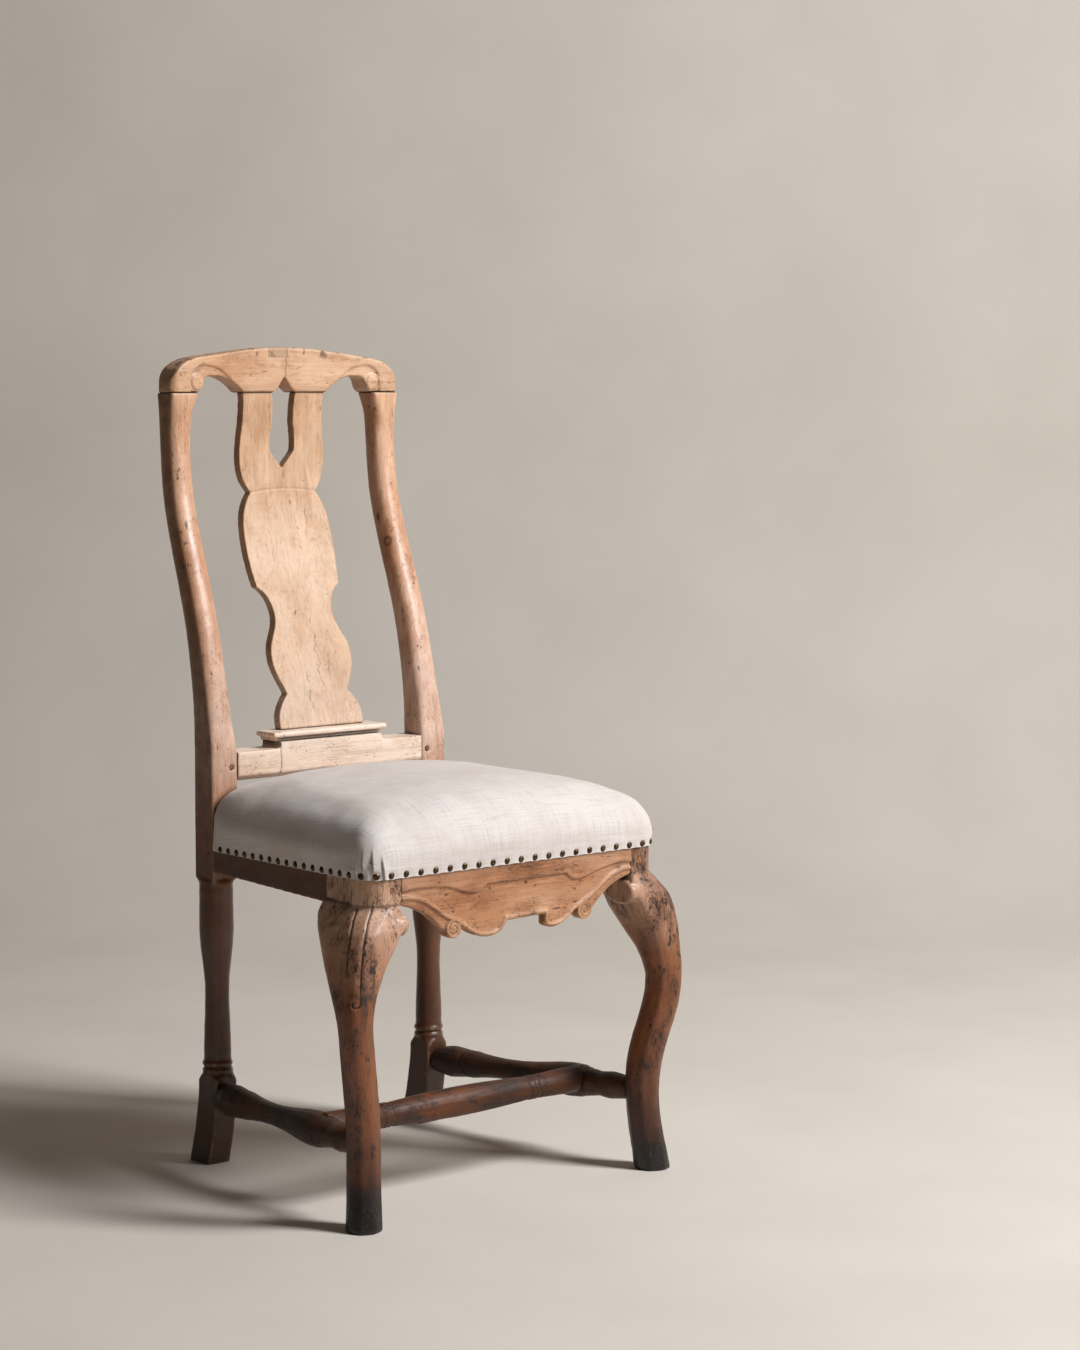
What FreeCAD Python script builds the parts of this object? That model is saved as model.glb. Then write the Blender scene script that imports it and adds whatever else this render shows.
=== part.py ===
import FreeCAD, Part
import math
import os

# Baroque side chair. Millimetres, +Z up, the chair faces -Y, left and right as seen from the front.
# While it is drawn, Y is measured from the front feet. At the end the parts are moved so that the
# middle of the chair's footprint is the origin.

os.makedirs("parts", exist_ok=True)
V = FreeCAD.Vector
UP = V(0, 0, 1)
ORIGIN = V(0, 0, 0)

# Fits
fit_clearance = 0.15
joint_overlap = 3.0
tool_overrun = 40.0

# Fineness of the turned and lofted forms
turning_flats = 14
turning_step = 22.0
post_step = 32.0
leg_step = 24.0
corner_points = 3
ear_sides = 16
stuffing_points = 5

# Seat frame in plan
seat_front_y = -14.0
apron_half_length = 192.5
leg_block_width = 52.5
seat_corner_radius = 31.0
leg_block_back_y = 86.0
rail_thickness = 26.0

# Seat frame heights
rail_top = 456.0
rail_bottom = 400.0
leg_block_bottom = 405.0

# Rear leg and back post
post_block_x = 178.5
post_block_y = 402.0
post_block_width = 43.0
post_block_depth = 43.0
post_block_reveal = 3.0
post_block_edge = 3.0
pommel_top = 400.0
pommel_bottom = 384.0
pommel_top_radius = 36.0
pommel_middle_radius = 32.0
shaft_x = 182.0
shaft_y = 399.0
shaft_radius = 22.8
shaft_waist_radius = 16.8
shaft_low_radius = 18.6
shaft_ring_radius = 20.6
shaft_ring_height = 4.5
shaft_groove_depth = 0.8
shaft_waist_z = (205.0, 255.0)
shaft_full_z = (310.0, 345.0)
shaft_overlap = 2.0
shaft_foot_top = 127.0
foot_block_width = 36.0
foot_block_edge = 2.5
foot_shoulder_height = 19.0
foot_shoulder_radius = 32.0
# Height, centre Y, depth
foot_sections = [(0.0, 420.0, 47.0), (45.0, 408.0, 45.0), (90.0, 400.5, 43.0), (shaft_foot_top, 399.0, 42.0)]

# Lower back rail, its plinth and the moulded shoe
lower_rail_rise = 62.5
lower_rail_height = 38.5
lower_rail_bevel = 7.0
plinth_half_length = 87.0
plinth_height = 9.0
shoe_half_length = 96.5
shoe_front_y = 382.0
shoe_neck_height = 5.0
shoe_neck_inset = 6.5
shoe_bead_radius = 3.6

# Back, from the top of the lower back rail to the joint under the crest. The heights of the posts'
# sections and of the splat are given in a back of the drawn height, and stretch with the real one.
back_height = 478.0
back_drawn_height = 478.0
# Back posts: height, inner X, outer X, centre Y, depth and edge radius
post_sections = [
    (43.0, 158.6, 198.4, 408.0, 42.0, 8.0),
    (103.0, 158.8, 197.4, 418.5, 40.5, 11.0),
    (163.0, 158.2, 196.4, 432.0, 39.5, 12.0),
    (223.0, 157.4, 195.4, 451.0, 39.0, 12.0),
    (283.0, 156.8, 194.4, 472.5, 38.0, 12.5),
    (343.0, 156.4, 193.6, 489.0, 37.0, 13.0),
    (403.0, 156.0, 193.0, 495.5, 36.0, 13.0),
    (451.0, 154.4, 192.8, 495.6, 37.0, 10.0),
]
post_top_inner_x = 147.0
post_top_outer_x = 192.7
post_top_y = 494.0
post_top_depth = 38.0
post_top_edge = 4.0

# Crest rail
crest_height = 61.0
crest_front_end_y = 475.0
crest_front_middle_y = 484.0
crest_back_y = 513.0
crest_corner_radius = 12.0
crest_outline = [(190.2, 17.0), (180.0, 32.0), (163.0, 42.5), (130.0, 49.0), (70.0, 56.5),
                 (0.0, crest_height)]
arch_outline = [(138.6, 12.0), (136.0, 18.5), (122.0, 23.0), (100.0, 20.0), (82.0, 11.0)]
arch_rim = [(161.0, 15.0), (155.0, 31.0), (142.0, 37.5), (124.0, 36.5), (106.0, 30.0), (90.0, 17.0)]
arch_rim_outer_x = 160.5
arch_rim_inner_x = 77.5
arch_hollow_depth = 2.5
crest_volute_x = 148.4
crest_volute_height = 13.0
crest_volute_radius = 10.2

# Splat: half width against height in four runs that meet at sharp corners, then the line of its front face
splat_thickness = 14.0
splat_foot_height = 22.0
splat_runs = [
    [(70.0, splat_foot_height), (69.6, 43.0), (64.5, 54.0), (52.0, 69.0)],
    [(52.0, 69.0), (59.5, 85.0), (67.2, 107.0), (65.0, 135.0), (51.0, 165.0), (51.0, 186.0), (70.0, 213.0)],
    [(70.0, 213.0), (73.6, 239.0), (74.5, 271.0), (70.0, 314.0), (55.0, 341.0)],
    [(55.0, 341.0), (69.0, 365.0), (72.0, 391.0), (67.4, 448.0), (69.4, back_drawn_height)],
]
splat_front_line = [
    (486.0, back_drawn_height), (490.5, 423.0), (491.0, 363.0), (478.0, 283.0),
    (456.0, 213.0), (433.0, 143.0), (412.0, 69.0), (402.0, splat_foot_height),
]
# Keyhole, with heights from the joint under the crest
keyhole_edge = [(0.0, -104.0), (19.6, -81.0)]
keyhole_side = [(20.8, -67.0), (17.2, -39.0), (17.2, -19.0)]
keyhole_joint_half_width = 19.5
keyhole_top = [(12.0, 6.0), (0.0, 22.0)]
splat_tenon_inner_x = 28.0
splat_tenon_outer_x = 62.0
splat_tenon_thickness = 8.0
splat_tenon_height = 16.0
splat_foot_tenon_half_width = 52.0
splat_foot_tenon_depth = 34.0

# Tenons and pegs
tenon_thickness = 9.0
rail_tenon_shoulder = 16.0
rail_tenon_height = 32.0
rail_tenon_length = 20.0
front_tenon_length = 30.0
side_tenon_length = 26.0
lower_rail_tenon_height = 24.0
post_tenon_width = 22.0
post_tenon_thickness = 14.0
post_tenon_height = 20.0
peg_radius = 3.4
peg_length = 26.0

# Apron: lower edge from the leg block to the hanging volute, then each lobe. It is carved by hand, so the
# two sides differ.
apron_bottom_at_leg = 405.8
apron_scroll_edge = [(172.0, 399.0), (150.0, 388.0), (131.0, 372.5)]
apron_volute_x = 110.0
apron_volute_z = 366.0
apron_volute_radius = 11.5
apron_lobe_start = (96.0, 369.0)
apron_lobe_shoulder = (80.0, 358.0)
apron_lobe_bottom = (55.0, 350.0)
left_lobe_rise = (-33.5, 353.5)
left_lobe_end = (-22.0, 367.0)
right_lobe_rise = (45.0, 354.0)
right_lobe_end = (45.5, 368.5)
apron_thin_below = 398.0
apron_lower_thickness = 16.0
apron_field_depth = 2.6
apron_bead_radius = 3.2
apron_bead_crown = 1.5
apron_bead_root = 1.0
apron_volute_tip = (10.4, -3.5)
apron_cut_below = 300.0
apron_bead_to_leg = [(apron_half_length, 413.0), (166.0, 410.0), (142.0, 398.0), (120.0, 383.0)]
apron_ridge_overrun = 0.5
apron_ridge_left = [(-apron_half_length - apron_ridge_overrun, 424.0), (-147.0, 425.0), (-107.0, 419.0),
                    (-84.0, 411.0), (-66.0, 412.5), (-57.0, 420.0)]
apron_ridge_right = [(apron_half_length + apron_ridge_overrun, 423.0), (147.0, 421.5), (120.0, 415.0),
                     (95.0, 410.5), (80.0, 420.0)]

# Front leg: each section of the cabriole as height, X range from the end of the apron, Y range and the
# radii of its corners: front inner, front outer, back outer, back inner
leg_sections = [
    (leg_block_bottom, 0.5, 48.0, -14.0, 86.0, 4.0, seat_corner_radius, 3.0, 4.0),
    (391.0, 0.0, 60.0, -18.0, 85.0, 5.0, 28.0, 8.0, 40.0),
    (374.0, 3.0, 71.0, -24.0, 76.5, 7.0, 22.0, 16.0, 46.0),
    (354.0, 14.0, 78.0, -26.0, 61.0, 11.0, 19.0, 16.0, 22.0),
    (328.0, 28.5, 83.0, -26.5, 47.5, 15.0, 16.0, 18.0, 14.0),
    (298.0, 39.5, 86.5, -26.0, 31.0, 17.0, 14.0, 18.0, 18.0),
    (262.0, 45.0, 88.0, -26.5, 17.0, 20.0, 13.0, 20.0, 17.0),
    (222.0, 40.5, 83.5, -25.0, 18.0, 20.5, 13.0, 20.5, 15.0),
    (180.0, 31.0, 74.0, -17.5, 25.5, 20.5, 14.0, 20.5, 14.0),
    (142.0, 23.5, 66.5, -12.5, 30.5, 20.5, 16.0, 20.5, 16.0),
    (100.0, 22.0, 64.0, -11.0, 31.0, 19.5, 18.0, 19.5, 18.0),
    (60.0, 24.0, 66.5, -14.0, 28.5, 19.5, 18.0, 19.5, 18.0),
    (24.0, 27.0, 71.0, -20.0, 24.0, 20.0, 18.0, 20.0, 18.0),
    (0.0, 28.5, 74.5, -24.0, 22.0, 21.0, 19.0, 21.0, 19.0),
]
# Knee grooves: distance of each from the corner of the knee, round the outer side
knee_groove_offsets = (0.0, 19.0)
knee_groove_width = 2.4
knee_groove_depth = 2.2
knee_groove_bottom = 288.0
ear_y = 5.0
ear_z = 380.0
ear_half_length = 28.0
ear_half_height = 17.5
ear_overlap = 6.5
ear_edge = 3.0
ear_root = 8.0

# Stretchers: ends of a side stretcher's axis, the front one from the end of the apron, then the distance
# along the axis and the radius
side_stretcher_rear_x = 183.0
side_stretcher_rear_y = 400.0
side_stretcher_rear_z = 93.0
side_stretcher_front_reach = 42.1
side_stretcher_front_y = 8.5
side_stretcher_front_z = 106.0
side_stretcher_profile = [
    [(0.0, 15.0), (20.0, 16.5), (34.0, 20.6), (52.0, 21.6), (74.0, 19.4)],
    [(76.0, 17.8), (78.0, 19.6)],
    [(82.0, 19.6), (84.0, 17.8)],
    [(86.0, 19.2), (120.0, 15.2), (166.0, 13.8), (222.0, 18.0), (280.0, 22.8), (294.0, 21.6)],
    [(296.0, 19.2), (298.0, 20.6)],
    [(302.0, 20.0), (304.0, 18.0)],
    [(306.0, 18.8), (322.0, 16.0)],
    [(343.0, 18.2), (366.0, 15.5)],
    [(394.0, 14.0)],
]
side_stretcher_tenon_radius = 9.0
cross_stretcher_y = 112.0
cross_stretcher_rise = 5.0
cross_stretcher_middle_radius = 19.4
cross_stretcher_neck_radius = 15.4
cross_stretcher_ring_x = 124.0
cross_stretcher_ring_radius = 16.8
cross_stretcher_end_radius = 18.4
cross_stretcher_tenon_radius = 7.5
cross_stretcher_ring_width = 3.0
cross_stretcher_groove = 2.0

# Seat upholstery
strap_width = 52.0
strap_thickness = 1.6
strap_count = 3
strap_spacing_x = 92.0
strap_spacing_y = 96.0
strap_front_inset = 4.0
strap_back_inset = 2.0
strap_side_inset = 4.0
base_cloth_inset = 3.0
base_cloth_back_gap = 4.0
base_cloth_tongue_gap = 6.0
base_cloth_thickness = 1.0
seat_back_gap = 1.0
cover_thickness = 1.5
cover_edge_front_z = 438.0
cover_edge_rear_z = 427.0
cover_edge_level = 10.0
cover_lap = 1.0
cover_flap_lap = 20.0
# Crown of the pad: distance behind the seat front, then height of its side and middle above the base cloth
pad_sections = [(0.0, 24.0, 30.0), (6.0, 37.0, 43.0), (24.0, 46.0, 57.0), (105.0, 48.0, 67.0),
                (275.0, 45.0, 62.0), (391.0, 29.0, 43.0)]
pad_shoulder_radius = 20.0
# Rear tongue of the pad between the posts: distance before the back of the rear rail, then the same heights
tongue_sections = [(69.0, 32.0, 48.0), (17.0, 32.0, 43.0), (0.0, 25.0, 27.0)]
tongue_shoulder_radius = 8.0
tongue_side_gap = 4.5

# Tacks
tack_head_radius = 4.7
tack_head_height = 3.2
tack_crown_radius = 2.6
tack_sides = 6
tack_shank_sides = 3
tack_shank_radius = 1.2
tack_shank_length = 10.0
tack_above_edge = 6.0
front_tack_count = 19
side_tack_count = 16
side_tack_start = 0.3
side_tack_end_gap = 10.0
corner_tack_shares = (0.36, 0.72)

# Values that follow from the driving dimensions
seat_corner_x = apron_half_length + leg_block_width
ear_inner_x = apron_half_length - ear_overlap
lower_rail_bottom = rail_top + lower_rail_rise
lower_rail_top = lower_rail_bottom + lower_rail_height
back_stretch = back_height / back_drawn_height
plinth_top = lower_rail_top + plinth_height
post_block_top = lower_rail_top + post_block_reveal
crest_joint_z = lower_rail_top + back_height
crest_top_z = crest_joint_z + crest_height
crest_volute_z = crest_joint_z + crest_volute_height
splat_foot_z = lower_rail_top + splat_foot_height * back_stretch
side_stretcher_rear = V(side_stretcher_rear_x, side_stretcher_rear_y, side_stretcher_rear_z)
side_stretcher_front = V(apron_half_length + side_stretcher_front_reach, side_stretcher_front_y,
                         side_stretcher_front_z)
post_inner_x = post_block_x - post_block_width / 2
post_outer_x = post_block_x + post_block_width / 2
post_front_y = post_block_y - post_block_depth / 2
post_back_y = post_block_y + post_block_depth / 2
rail_middle_y = seat_front_y + rail_thickness / 2
rear_rail_front_y = post_block_y - rail_thickness / 2
rear_rail_back_y = post_block_y + rail_thickness / 2
side_slope = (post_outer_x - seat_corner_x) / (post_front_y - seat_front_y)
side_normal = V(1, -side_slope, 0).normalize()
corner_turn = math.pi / 2 + math.atan(-side_slope)
corner_centre = V(seat_corner_x - seat_corner_radius * math.tan(corner_turn / 2),
                  seat_front_y + seat_corner_radius, 0)
side_rail_top = rail_top + strap_thickness
base_cloth_bottom = rail_top + 2 * strap_thickness
pad_bottom = base_cloth_bottom + base_cloth_thickness
tenon_top = rail_top - rail_tenon_shoulder
tenon_bottom = tenon_top - rail_tenon_height
tongue_half_width = post_inner_x - tongue_side_gap


def side_x(y):
    """X of the seat's straight outer side at a given Y."""
    return seat_corner_x + side_slope * (y - seat_front_y)


def in_back(points):
    """Points of the drawn back, as (across, height), at their height from the floor."""
    return [(across, lower_rail_top + height * back_stretch) for across, height in points]


def from_joint(points):
    """Points whose heights count from the joint under the crest, at their height from the floor."""
    return [(across, crest_joint_z + height) for across, height in points]


def mirrored(shape):
    """The same piece on the left side."""
    return shape.mirror(ORIGIN, V(1, 0, 0))


def block(x_low, x_high, y_low, y_high, z_low, z_high, grow=0.0):
    """Upright box between two corners, made larger all round by grow."""
    low = V(x_low - grow, y_low - grow, z_low - grow)
    size = V(x_high + grow, y_high + grow, z_high + grow) - low
    return Part.makeBox(size.x, size.y, size.z, low)


def plan_prism(points, z_low, z_high):
    """Polygon given in plan, drawn up from one height to another."""
    corners = [V(x, y, z_low) for x, y in points]
    return Part.Face(Part.makePolygon(corners + corners[:1])).extrude(V(0, 0, z_high - z_low))


def curve(points):
    """Smooth edge through points."""
    spline = Part.BSplineCurve()
    spline.interpolate(points)
    return spline.toShape()


def line(start, end):
    """Straight edge."""
    return Part.makeLine(start, end)


def front_points(points, y, side=1):
    """Points of a front view set at one depth, on the right side or, with side -1, on the left."""
    return [V(side * x, y, z) for x, z in points]


def front_prism(edges, depth):
    """Closed outline in a front view, drawn backwards by depth."""
    return Part.Face(Part.Wire(Part.__sortEdges__(edges))).extrude(V(0, depth, 0))


def rounded_section(z, x_low, x_high, y_low, y_high, radii):
    """Level rectangle with its own radius at each corner, from the front low-X corner round by the front."""
    corners = [V(x_low, y_low, z), V(x_high, y_low, z), V(x_high, y_high, z), V(x_low, y_high, z)]
    ways = [V(1, 0, 0), V(0, 1, 0), V(-1, 0, 0), V(0, -1, 0)]
    edges = []
    for i, corner in enumerate(corners):
        radius = radii[i]
        start = corner - ways[i - 1] * radius
        middle = start + ways[i] * radius + (ways[i - 1] - ways[i]) * (radius / math.sqrt(2))
        end = corner + ways[i] * radius
        following = (i + 1) % 4
        edges.append(Part.Arc(start, middle, end).toShape())
        edges.append(line(end, corners[following] - ways[i] * radii[following]))
    return Part.Wire(edges)


def turned(runs, start, way):
    """Turned solid with narrow flats, from smooth runs of (distance, radius) along an axis."""
    along = V(way).normalize()
    side = along.cross(UP)
    side = V(1, 0, 0) if side.Length < 1e-6 else side.normalize()
    across = along.cross(side)
    stations = []
    for run in runs:
        points = [V(distance, radius, 0) for distance, radius in run]
        if len(points) > 2:
            steps = max(3, round((points[-1].x - points[0].x) / turning_step) + 1)
            points = curve(points).discretize(Number=steps)
        stations += [p for p in points if not stations or p.distanceToPoint(stations[-1]) > 1e-6]
    rings = []
    for station in stations:
        ring = []
        for i in range(turning_flats):
            angle = 2 * math.pi * (i + 0.5) / turning_flats
            out = side * math.cos(angle) + across * math.sin(angle)
            ring.append(start + along * station.x + out * station.y)
        rings.append(ring)
    return skin(rings)


def skin(rings):
    """Solid between rings of as many points each: one flat per four neighbours, or two where they twist."""
    faces = [flat(rings[0]), flat(rings[-1])]
    for lower, upper in zip(rings[:-1], rings[1:]):
        for i in range(len(lower)):
            a, b, c, d = lower[i - 1], lower[i], upper[i], upper[i - 1]
            if abs((b - a).cross(d - a).normalize().dot(c - a)) < 1e-7:
                faces.append(flat([a, b, c, d]))
            else:
                faces.append(flat([a, b, c]))
                faces.append(flat([a, c, d]))
    return Part.makeSolid(Part.makeShell(faces))


def ring_points(wire, per_corner):
    """Points round a rounded section: so many on each corner's arc."""
    points = []
    for arc in wire.Edges[::2]:
        points += arc.discretize(Number=per_corner)
    return points


def flat(corners):
    """Flat face with the given corners."""
    return Part.Face(Part.makePolygon(corners + corners[:1]))


def smooth_rows(rows, step):
    """Rows of section values eased between the given ones, about a step apart in their first value."""
    eased = []
    for i in range(len(rows) - 1):
        before = rows[max(i - 1, 0)]
        low, high = rows[i], rows[i + 1]
        after = rows[min(i + 2, len(rows) - 1)]
        pieces = max(1, round(abs(high[0] - low[0]) / step))
        for k in range(pieces):
            t = k / pieces
            span = high[0] - low[0]
            row = []
            for j in range(len(low)):
                slope_low = (high[j] - before[j]) / (high[0] - before[0]) * span
                slope_high = (after[j] - low[j]) / (after[0] - low[0]) * span
                row.append((2 * t ** 3 - 3 * t ** 2 + 1) * low[j] + (t ** 3 - 2 * t ** 2 + t) * slope_low
                           + (3 * t ** 2 - 2 * t ** 3) * high[j] + (t ** 3 - t ** 2) * slope_high)
            eased.append(row)
    return eased + [list(rows[-1])]


def peg(start, way, length):
    """Eight-sided riven peg from a face into the wood."""
    along = V(way).normalize()
    across = along.cross(UP).normalize()
    corners = []
    for i in range(8):
        angle = math.pi * (i + 0.5) / 4
        corners.append(start + across * (peg_radius * math.cos(angle)) + UP * (peg_radius * math.sin(angle)))
    return flat(corners).extrude(along * length)


def make_post():
    """Right rear leg and back post in one length, without its mortises."""
    edge = [post_block_edge] * 4
    block_foot = rounded_section(pommel_bottom, post_inner_x, post_outer_x, post_front_y, post_back_y, edge)
    seat_block = flat(ring_points(block_foot, corner_points)).extrude(V(0, 0, post_block_top - pommel_bottom))
    axis = V(shaft_x, shaft_y, 0)
    pommel_middle = (pommel_top + pommel_bottom) / 2
    clear_radius = 2 * pommel_top_radius
    rounding = turned([
        [(pommel_bottom, shaft_radius), (pommel_middle, pommel_middle_radius),
         (pommel_top, pommel_top_radius)],
        [(pommel_top, clear_radius), (post_block_top, clear_radius)],
    ], axis, UP)
    seat_block = seat_block.common(rounding)

    rows = [(post_block_top, post_inner_x, post_outer_x, post_block_y, post_block_depth, post_block_edge)]
    rows += [(lower_rail_top + height * back_stretch, *values) for height, *values in post_sections]
    rows.append((crest_joint_z, post_top_inner_x, post_top_outer_x, post_top_y, post_top_depth,
                 post_top_edge))
    sections = []
    for z, inner, outer, y, depth, radius in smooth_rows(rows, post_step):
        section = rounded_section(z, inner, outer, y - depth / 2, y + depth / 2, [radius] * 4)
        sections.append(ring_points(section, corner_points))
    upper = skin(sections)

    groove_radius = shaft_low_radius - shaft_groove_depth
    ring_edges = [shaft_foot_top + i * shaft_ring_height for i in range(4)]
    shaft = turned([
        [(shaft_foot_top - shaft_overlap, groove_radius), (ring_edges[0], groove_radius)],
        [(ring_edges[0], shaft_ring_radius), (ring_edges[1], shaft_ring_radius)],
        [(ring_edges[1], groove_radius), (ring_edges[2], groove_radius)],
        [(ring_edges[2], shaft_ring_radius), (ring_edges[3], shaft_ring_radius)],
        [(ring_edges[3], shaft_low_radius), (shaft_waist_z[0], shaft_waist_radius),
         (shaft_waist_z[1], shaft_waist_radius), (shaft_full_z[0], shaft_radius),
         (shaft_full_z[1], shaft_radius), (pommel_bottom + shaft_overlap, shaft_radius)],
    ], axis, UP)

    feet = []
    for z, y, depth in foot_sections:
        section = rounded_section(z, shaft_x - foot_block_width / 2, shaft_x + foot_block_width / 2,
                                  y - depth / 2, y + depth / 2, [foot_block_edge] * 4)
        feet.append(ring_points(section, 2))
    foot = skin(feet)
    shoulder_z = shaft_foot_top - foot_shoulder_height
    clear_radius = 3 * foot_shoulder_radius
    foot_rounding = [[(0.0, clear_radius), (shoulder_z, clear_radius)],
                     [(shoulder_z, foot_shoulder_radius), (shaft_foot_top, shaft_low_radius)]]
    foot = foot.common(turned(foot_rounding, axis, UP))
    return upper.multiFuse([seat_block, shaft, foot]).removeSplitter()


def make_crest():
    """Crest rail with arches, hollowed rims and volute buttons, without its mortises."""
    depth = crest_back_y - crest_front_end_y + 2 * tool_overrun
    y = crest_front_end_y - tool_overrun
    top = [(post_top_outer_x, crest_joint_z)] + from_joint(crest_outline)
    top_points = front_points(top, y) + front_points(top[-2::-1], y, -1)
    edges = [curve(top_points)]
    for side in (1, -1):
        arch = [(post_top_inner_x, crest_joint_z)] + from_joint(arch_outline)
        arch.append((splat_runs[-1][-1][0], crest_joint_z))
        corners = front_points([(post_top_outer_x, crest_joint_z), arch[0], arch[-1],
                                (keyhole_joint_half_width, crest_joint_z)] + from_joint(keyhole_top), y, side)
        edges.append(line(corners[0], corners[1]))
        edges.append(curve(front_points(arch, y, side)))
        edges.append(line(corners[2], corners[3]))
        edges.append(line(corners[3], corners[4]))
        edges.append(line(corners[4], corners[5]))
    outline = front_prism(edges, depth)

    front_left = V(-post_top_outer_x, crest_front_end_y, crest_joint_z)
    front_right = V(post_top_outer_x, crest_front_end_y, crest_joint_z)
    back_right = V(post_top_outer_x, crest_back_y, crest_joint_z)
    back_left = V(-post_top_outer_x, crest_back_y, crest_joint_z)
    plan = [Part.Arc(front_left, V(0, crest_front_middle_y, crest_joint_z), front_right).toShape(),
            line(front_right, back_right), line(back_right, back_left), line(back_left, front_left)]
    slab = Part.Face(Part.Wire(plan)).extrude(V(0, 0, crest_top_z - crest_joint_z))
    uprights = [e for e in slab.Edges if abs(e.BoundBox.ZLength) > 1.0]
    slab = slab.makeFillet(crest_corner_radius, uprights)
    crest = slab.common(outline)

    for side in (1, -1):
        rim = [(arch_rim_outer_x, crest_joint_z)] + from_joint(arch_rim) + [(arch_rim_inner_x, crest_joint_z)]
        edges = [curve(front_points(rim, y, side)), line(*front_points([rim[-1], rim[0]], y, side))]
        hollow = front_prism(edges, depth)
        centre = V(side * crest_volute_x, y, crest_volute_z)
        button = Part.makeCylinder(crest_volute_radius, depth, centre, V(0, 1, 0))
        behind = slab.translated(V(0, arch_hollow_depth, 0))
        crest = crest.cut(hollow.cut(button).cut(behind))
    return crest.removeSplitter()


def make_splat():
    """S-curved splat board with its keyhole, without tenons."""
    y = min(p[0] for p in splat_front_line) - tool_overrun
    depth = max(p[0] for p in splat_front_line) - y + tool_overrun
    runs = [in_back(run) for run in splat_runs]
    edges = []
    for side in (1, -1):
        for run in runs:
            edges.append(curve(front_points(run, y, side)))
    for x, z in (runs[0][0], runs[-1][-1]):
        edges.append(line(V(-x, y, z), V(x, y, z)))
    board = front_prism(edges, depth)

    reach = 2 * max(x for run in runs for x, z in run)
    front = [V(-reach / 2, front_y, z) for front_y, z in in_back(splat_front_line)]
    back = [p + V(0, splat_thickness, 0) for p in front]
    bend = [curve(front), line(front[-1], back[-1]), curve(back[::-1]), line(back[0], front[0])]
    splat = board.common(Part.Face(Part.Wire(bend)).extrude(V(reach, 0, 0)))

    top = (keyhole_joint_half_width, crest_joint_z + fit_clearance)
    edges = [line(V(-top[0], y, top[1]), V(top[0], y, top[1]))]
    for side in (1, -1):
        edges.append(line(*front_points(from_joint(keyhole_edge), y, side)))
        edges.append(curve(front_points(from_joint(keyhole_edge[-1:] + keyhole_side) + [top], y, side)))
    return splat.cut(front_prism(edges, depth))


def make_front_leg():
    """Right cabriole leg with its rail block, grooved knee and ear button, without its mortises."""
    sections = []
    for z, x_low, x_high, y_low, y_high, *radii in smooth_rows(leg_sections, leg_step):
        section = rounded_section(z, apron_half_length + x_low, apron_half_length + x_high,
                                  y_low, y_high, radii)
        sections.append(ring_points(section, corner_points))
    cabriole = skin(sections)

    arc_start, arc_middle, arc_end = corner_arc(0.0)
    side_end = V(side_x(leg_block_back_y), leg_block_back_y, 0)
    inner_back = V(apron_half_length, leg_block_back_y, 0)
    inner_front = V(apron_half_length, seat_front_y, 0)
    plan = Part.Wire([line(inner_front, arc_start), Part.Arc(arc_start, arc_middle, arc_end).toShape(),
                      line(arc_end, side_end), line(side_end, inner_back), line(inner_back, inner_front)])
    rail_block = Part.Face(plan).extrude(V(0, 0, rail_top - leg_block_bottom))
    rail_block.translate(V(0, 0, leg_block_bottom))

    rings = []
    ear_outer_x = apron_half_length + leg_sections[2][1] + ear_root
    for x, shrink in ((ear_inner_x, ear_edge), (ear_inner_x + ear_edge, 0.0), (ear_outer_x, 0.0)):
        ring = []
        for i in range(ear_sides):
            angle = 2 * math.pi * i / ear_sides
            ring.append(V(x, ear_y + (ear_half_length - shrink) * math.cos(angle),
                          ear_z + (ear_half_height - shrink) * math.sin(angle)))
        rings.append(ring)
    ear = skin(rings)

    outward = V(1, -1, 0).normalize()
    core = cabriole.translated(outward * -knee_groove_depth)
    foot = V(apron_half_length + leg_sections[0][2], leg_sections[0][3], knee_groove_bottom)
    grooves = []
    for offset in knee_groove_offsets:
        groove = Part.makeBox(tool_overrun * 2, knee_groove_width, leg_block_bottom - knee_groove_bottom,
                              V(-tool_overrun, offset - knee_groove_width / 2, 0))
        groove.rotate(ORIGIN, UP, -45)
        groove.translate(foot)
        grooves.append(groove.cut(core))
    cabriole = cabriole.cut(grooves[0]).cut(grooves[1])
    return cabriole.multiFuse([rail_block, ear]).removeSplitter()


def corner_arc(offset):
    """Start, middle and end of the seat's rounded front corner in plan, moved outwards by offset."""
    radius = seat_corner_radius + offset
    front = V(0, -1, 0)
    between = (front + side_normal).normalize()
    return [corner_centre + way * radius for way in (front, between, side_normal)]


def seat_plan(offset, back_y):
    """Seat outline in plan back to a given Y, moved outwards by offset."""
    start, middle, end = corner_arc(offset)
    back = V(side_x(back_y) + offset * math.hypot(1, side_slope), back_y, 0)
    flip = [V(-p.x, p.y, 0) for p in (start, middle, end, back)]
    edges = [line(flip[0], start), Part.Arc(start, middle, end).toShape(), line(end, back),
             line(back, flip[3]), line(flip[3], flip[2]), Part.Arc(flip[2], flip[1], flip[0]).toShape()]
    return Part.Face(Part.Wire(edges))


def pad_half_width(y):
    """Half width of the seat at a given Y, with the round corner."""
    arc_end_y = corner_arc(0.0)[2].y
    if y < arc_end_y:
        return corner_centre.x + math.sqrt(max(seat_corner_radius ** 2 - (y - corner_centre.y) ** 2, 0.0))
    return side_x(y)


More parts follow.
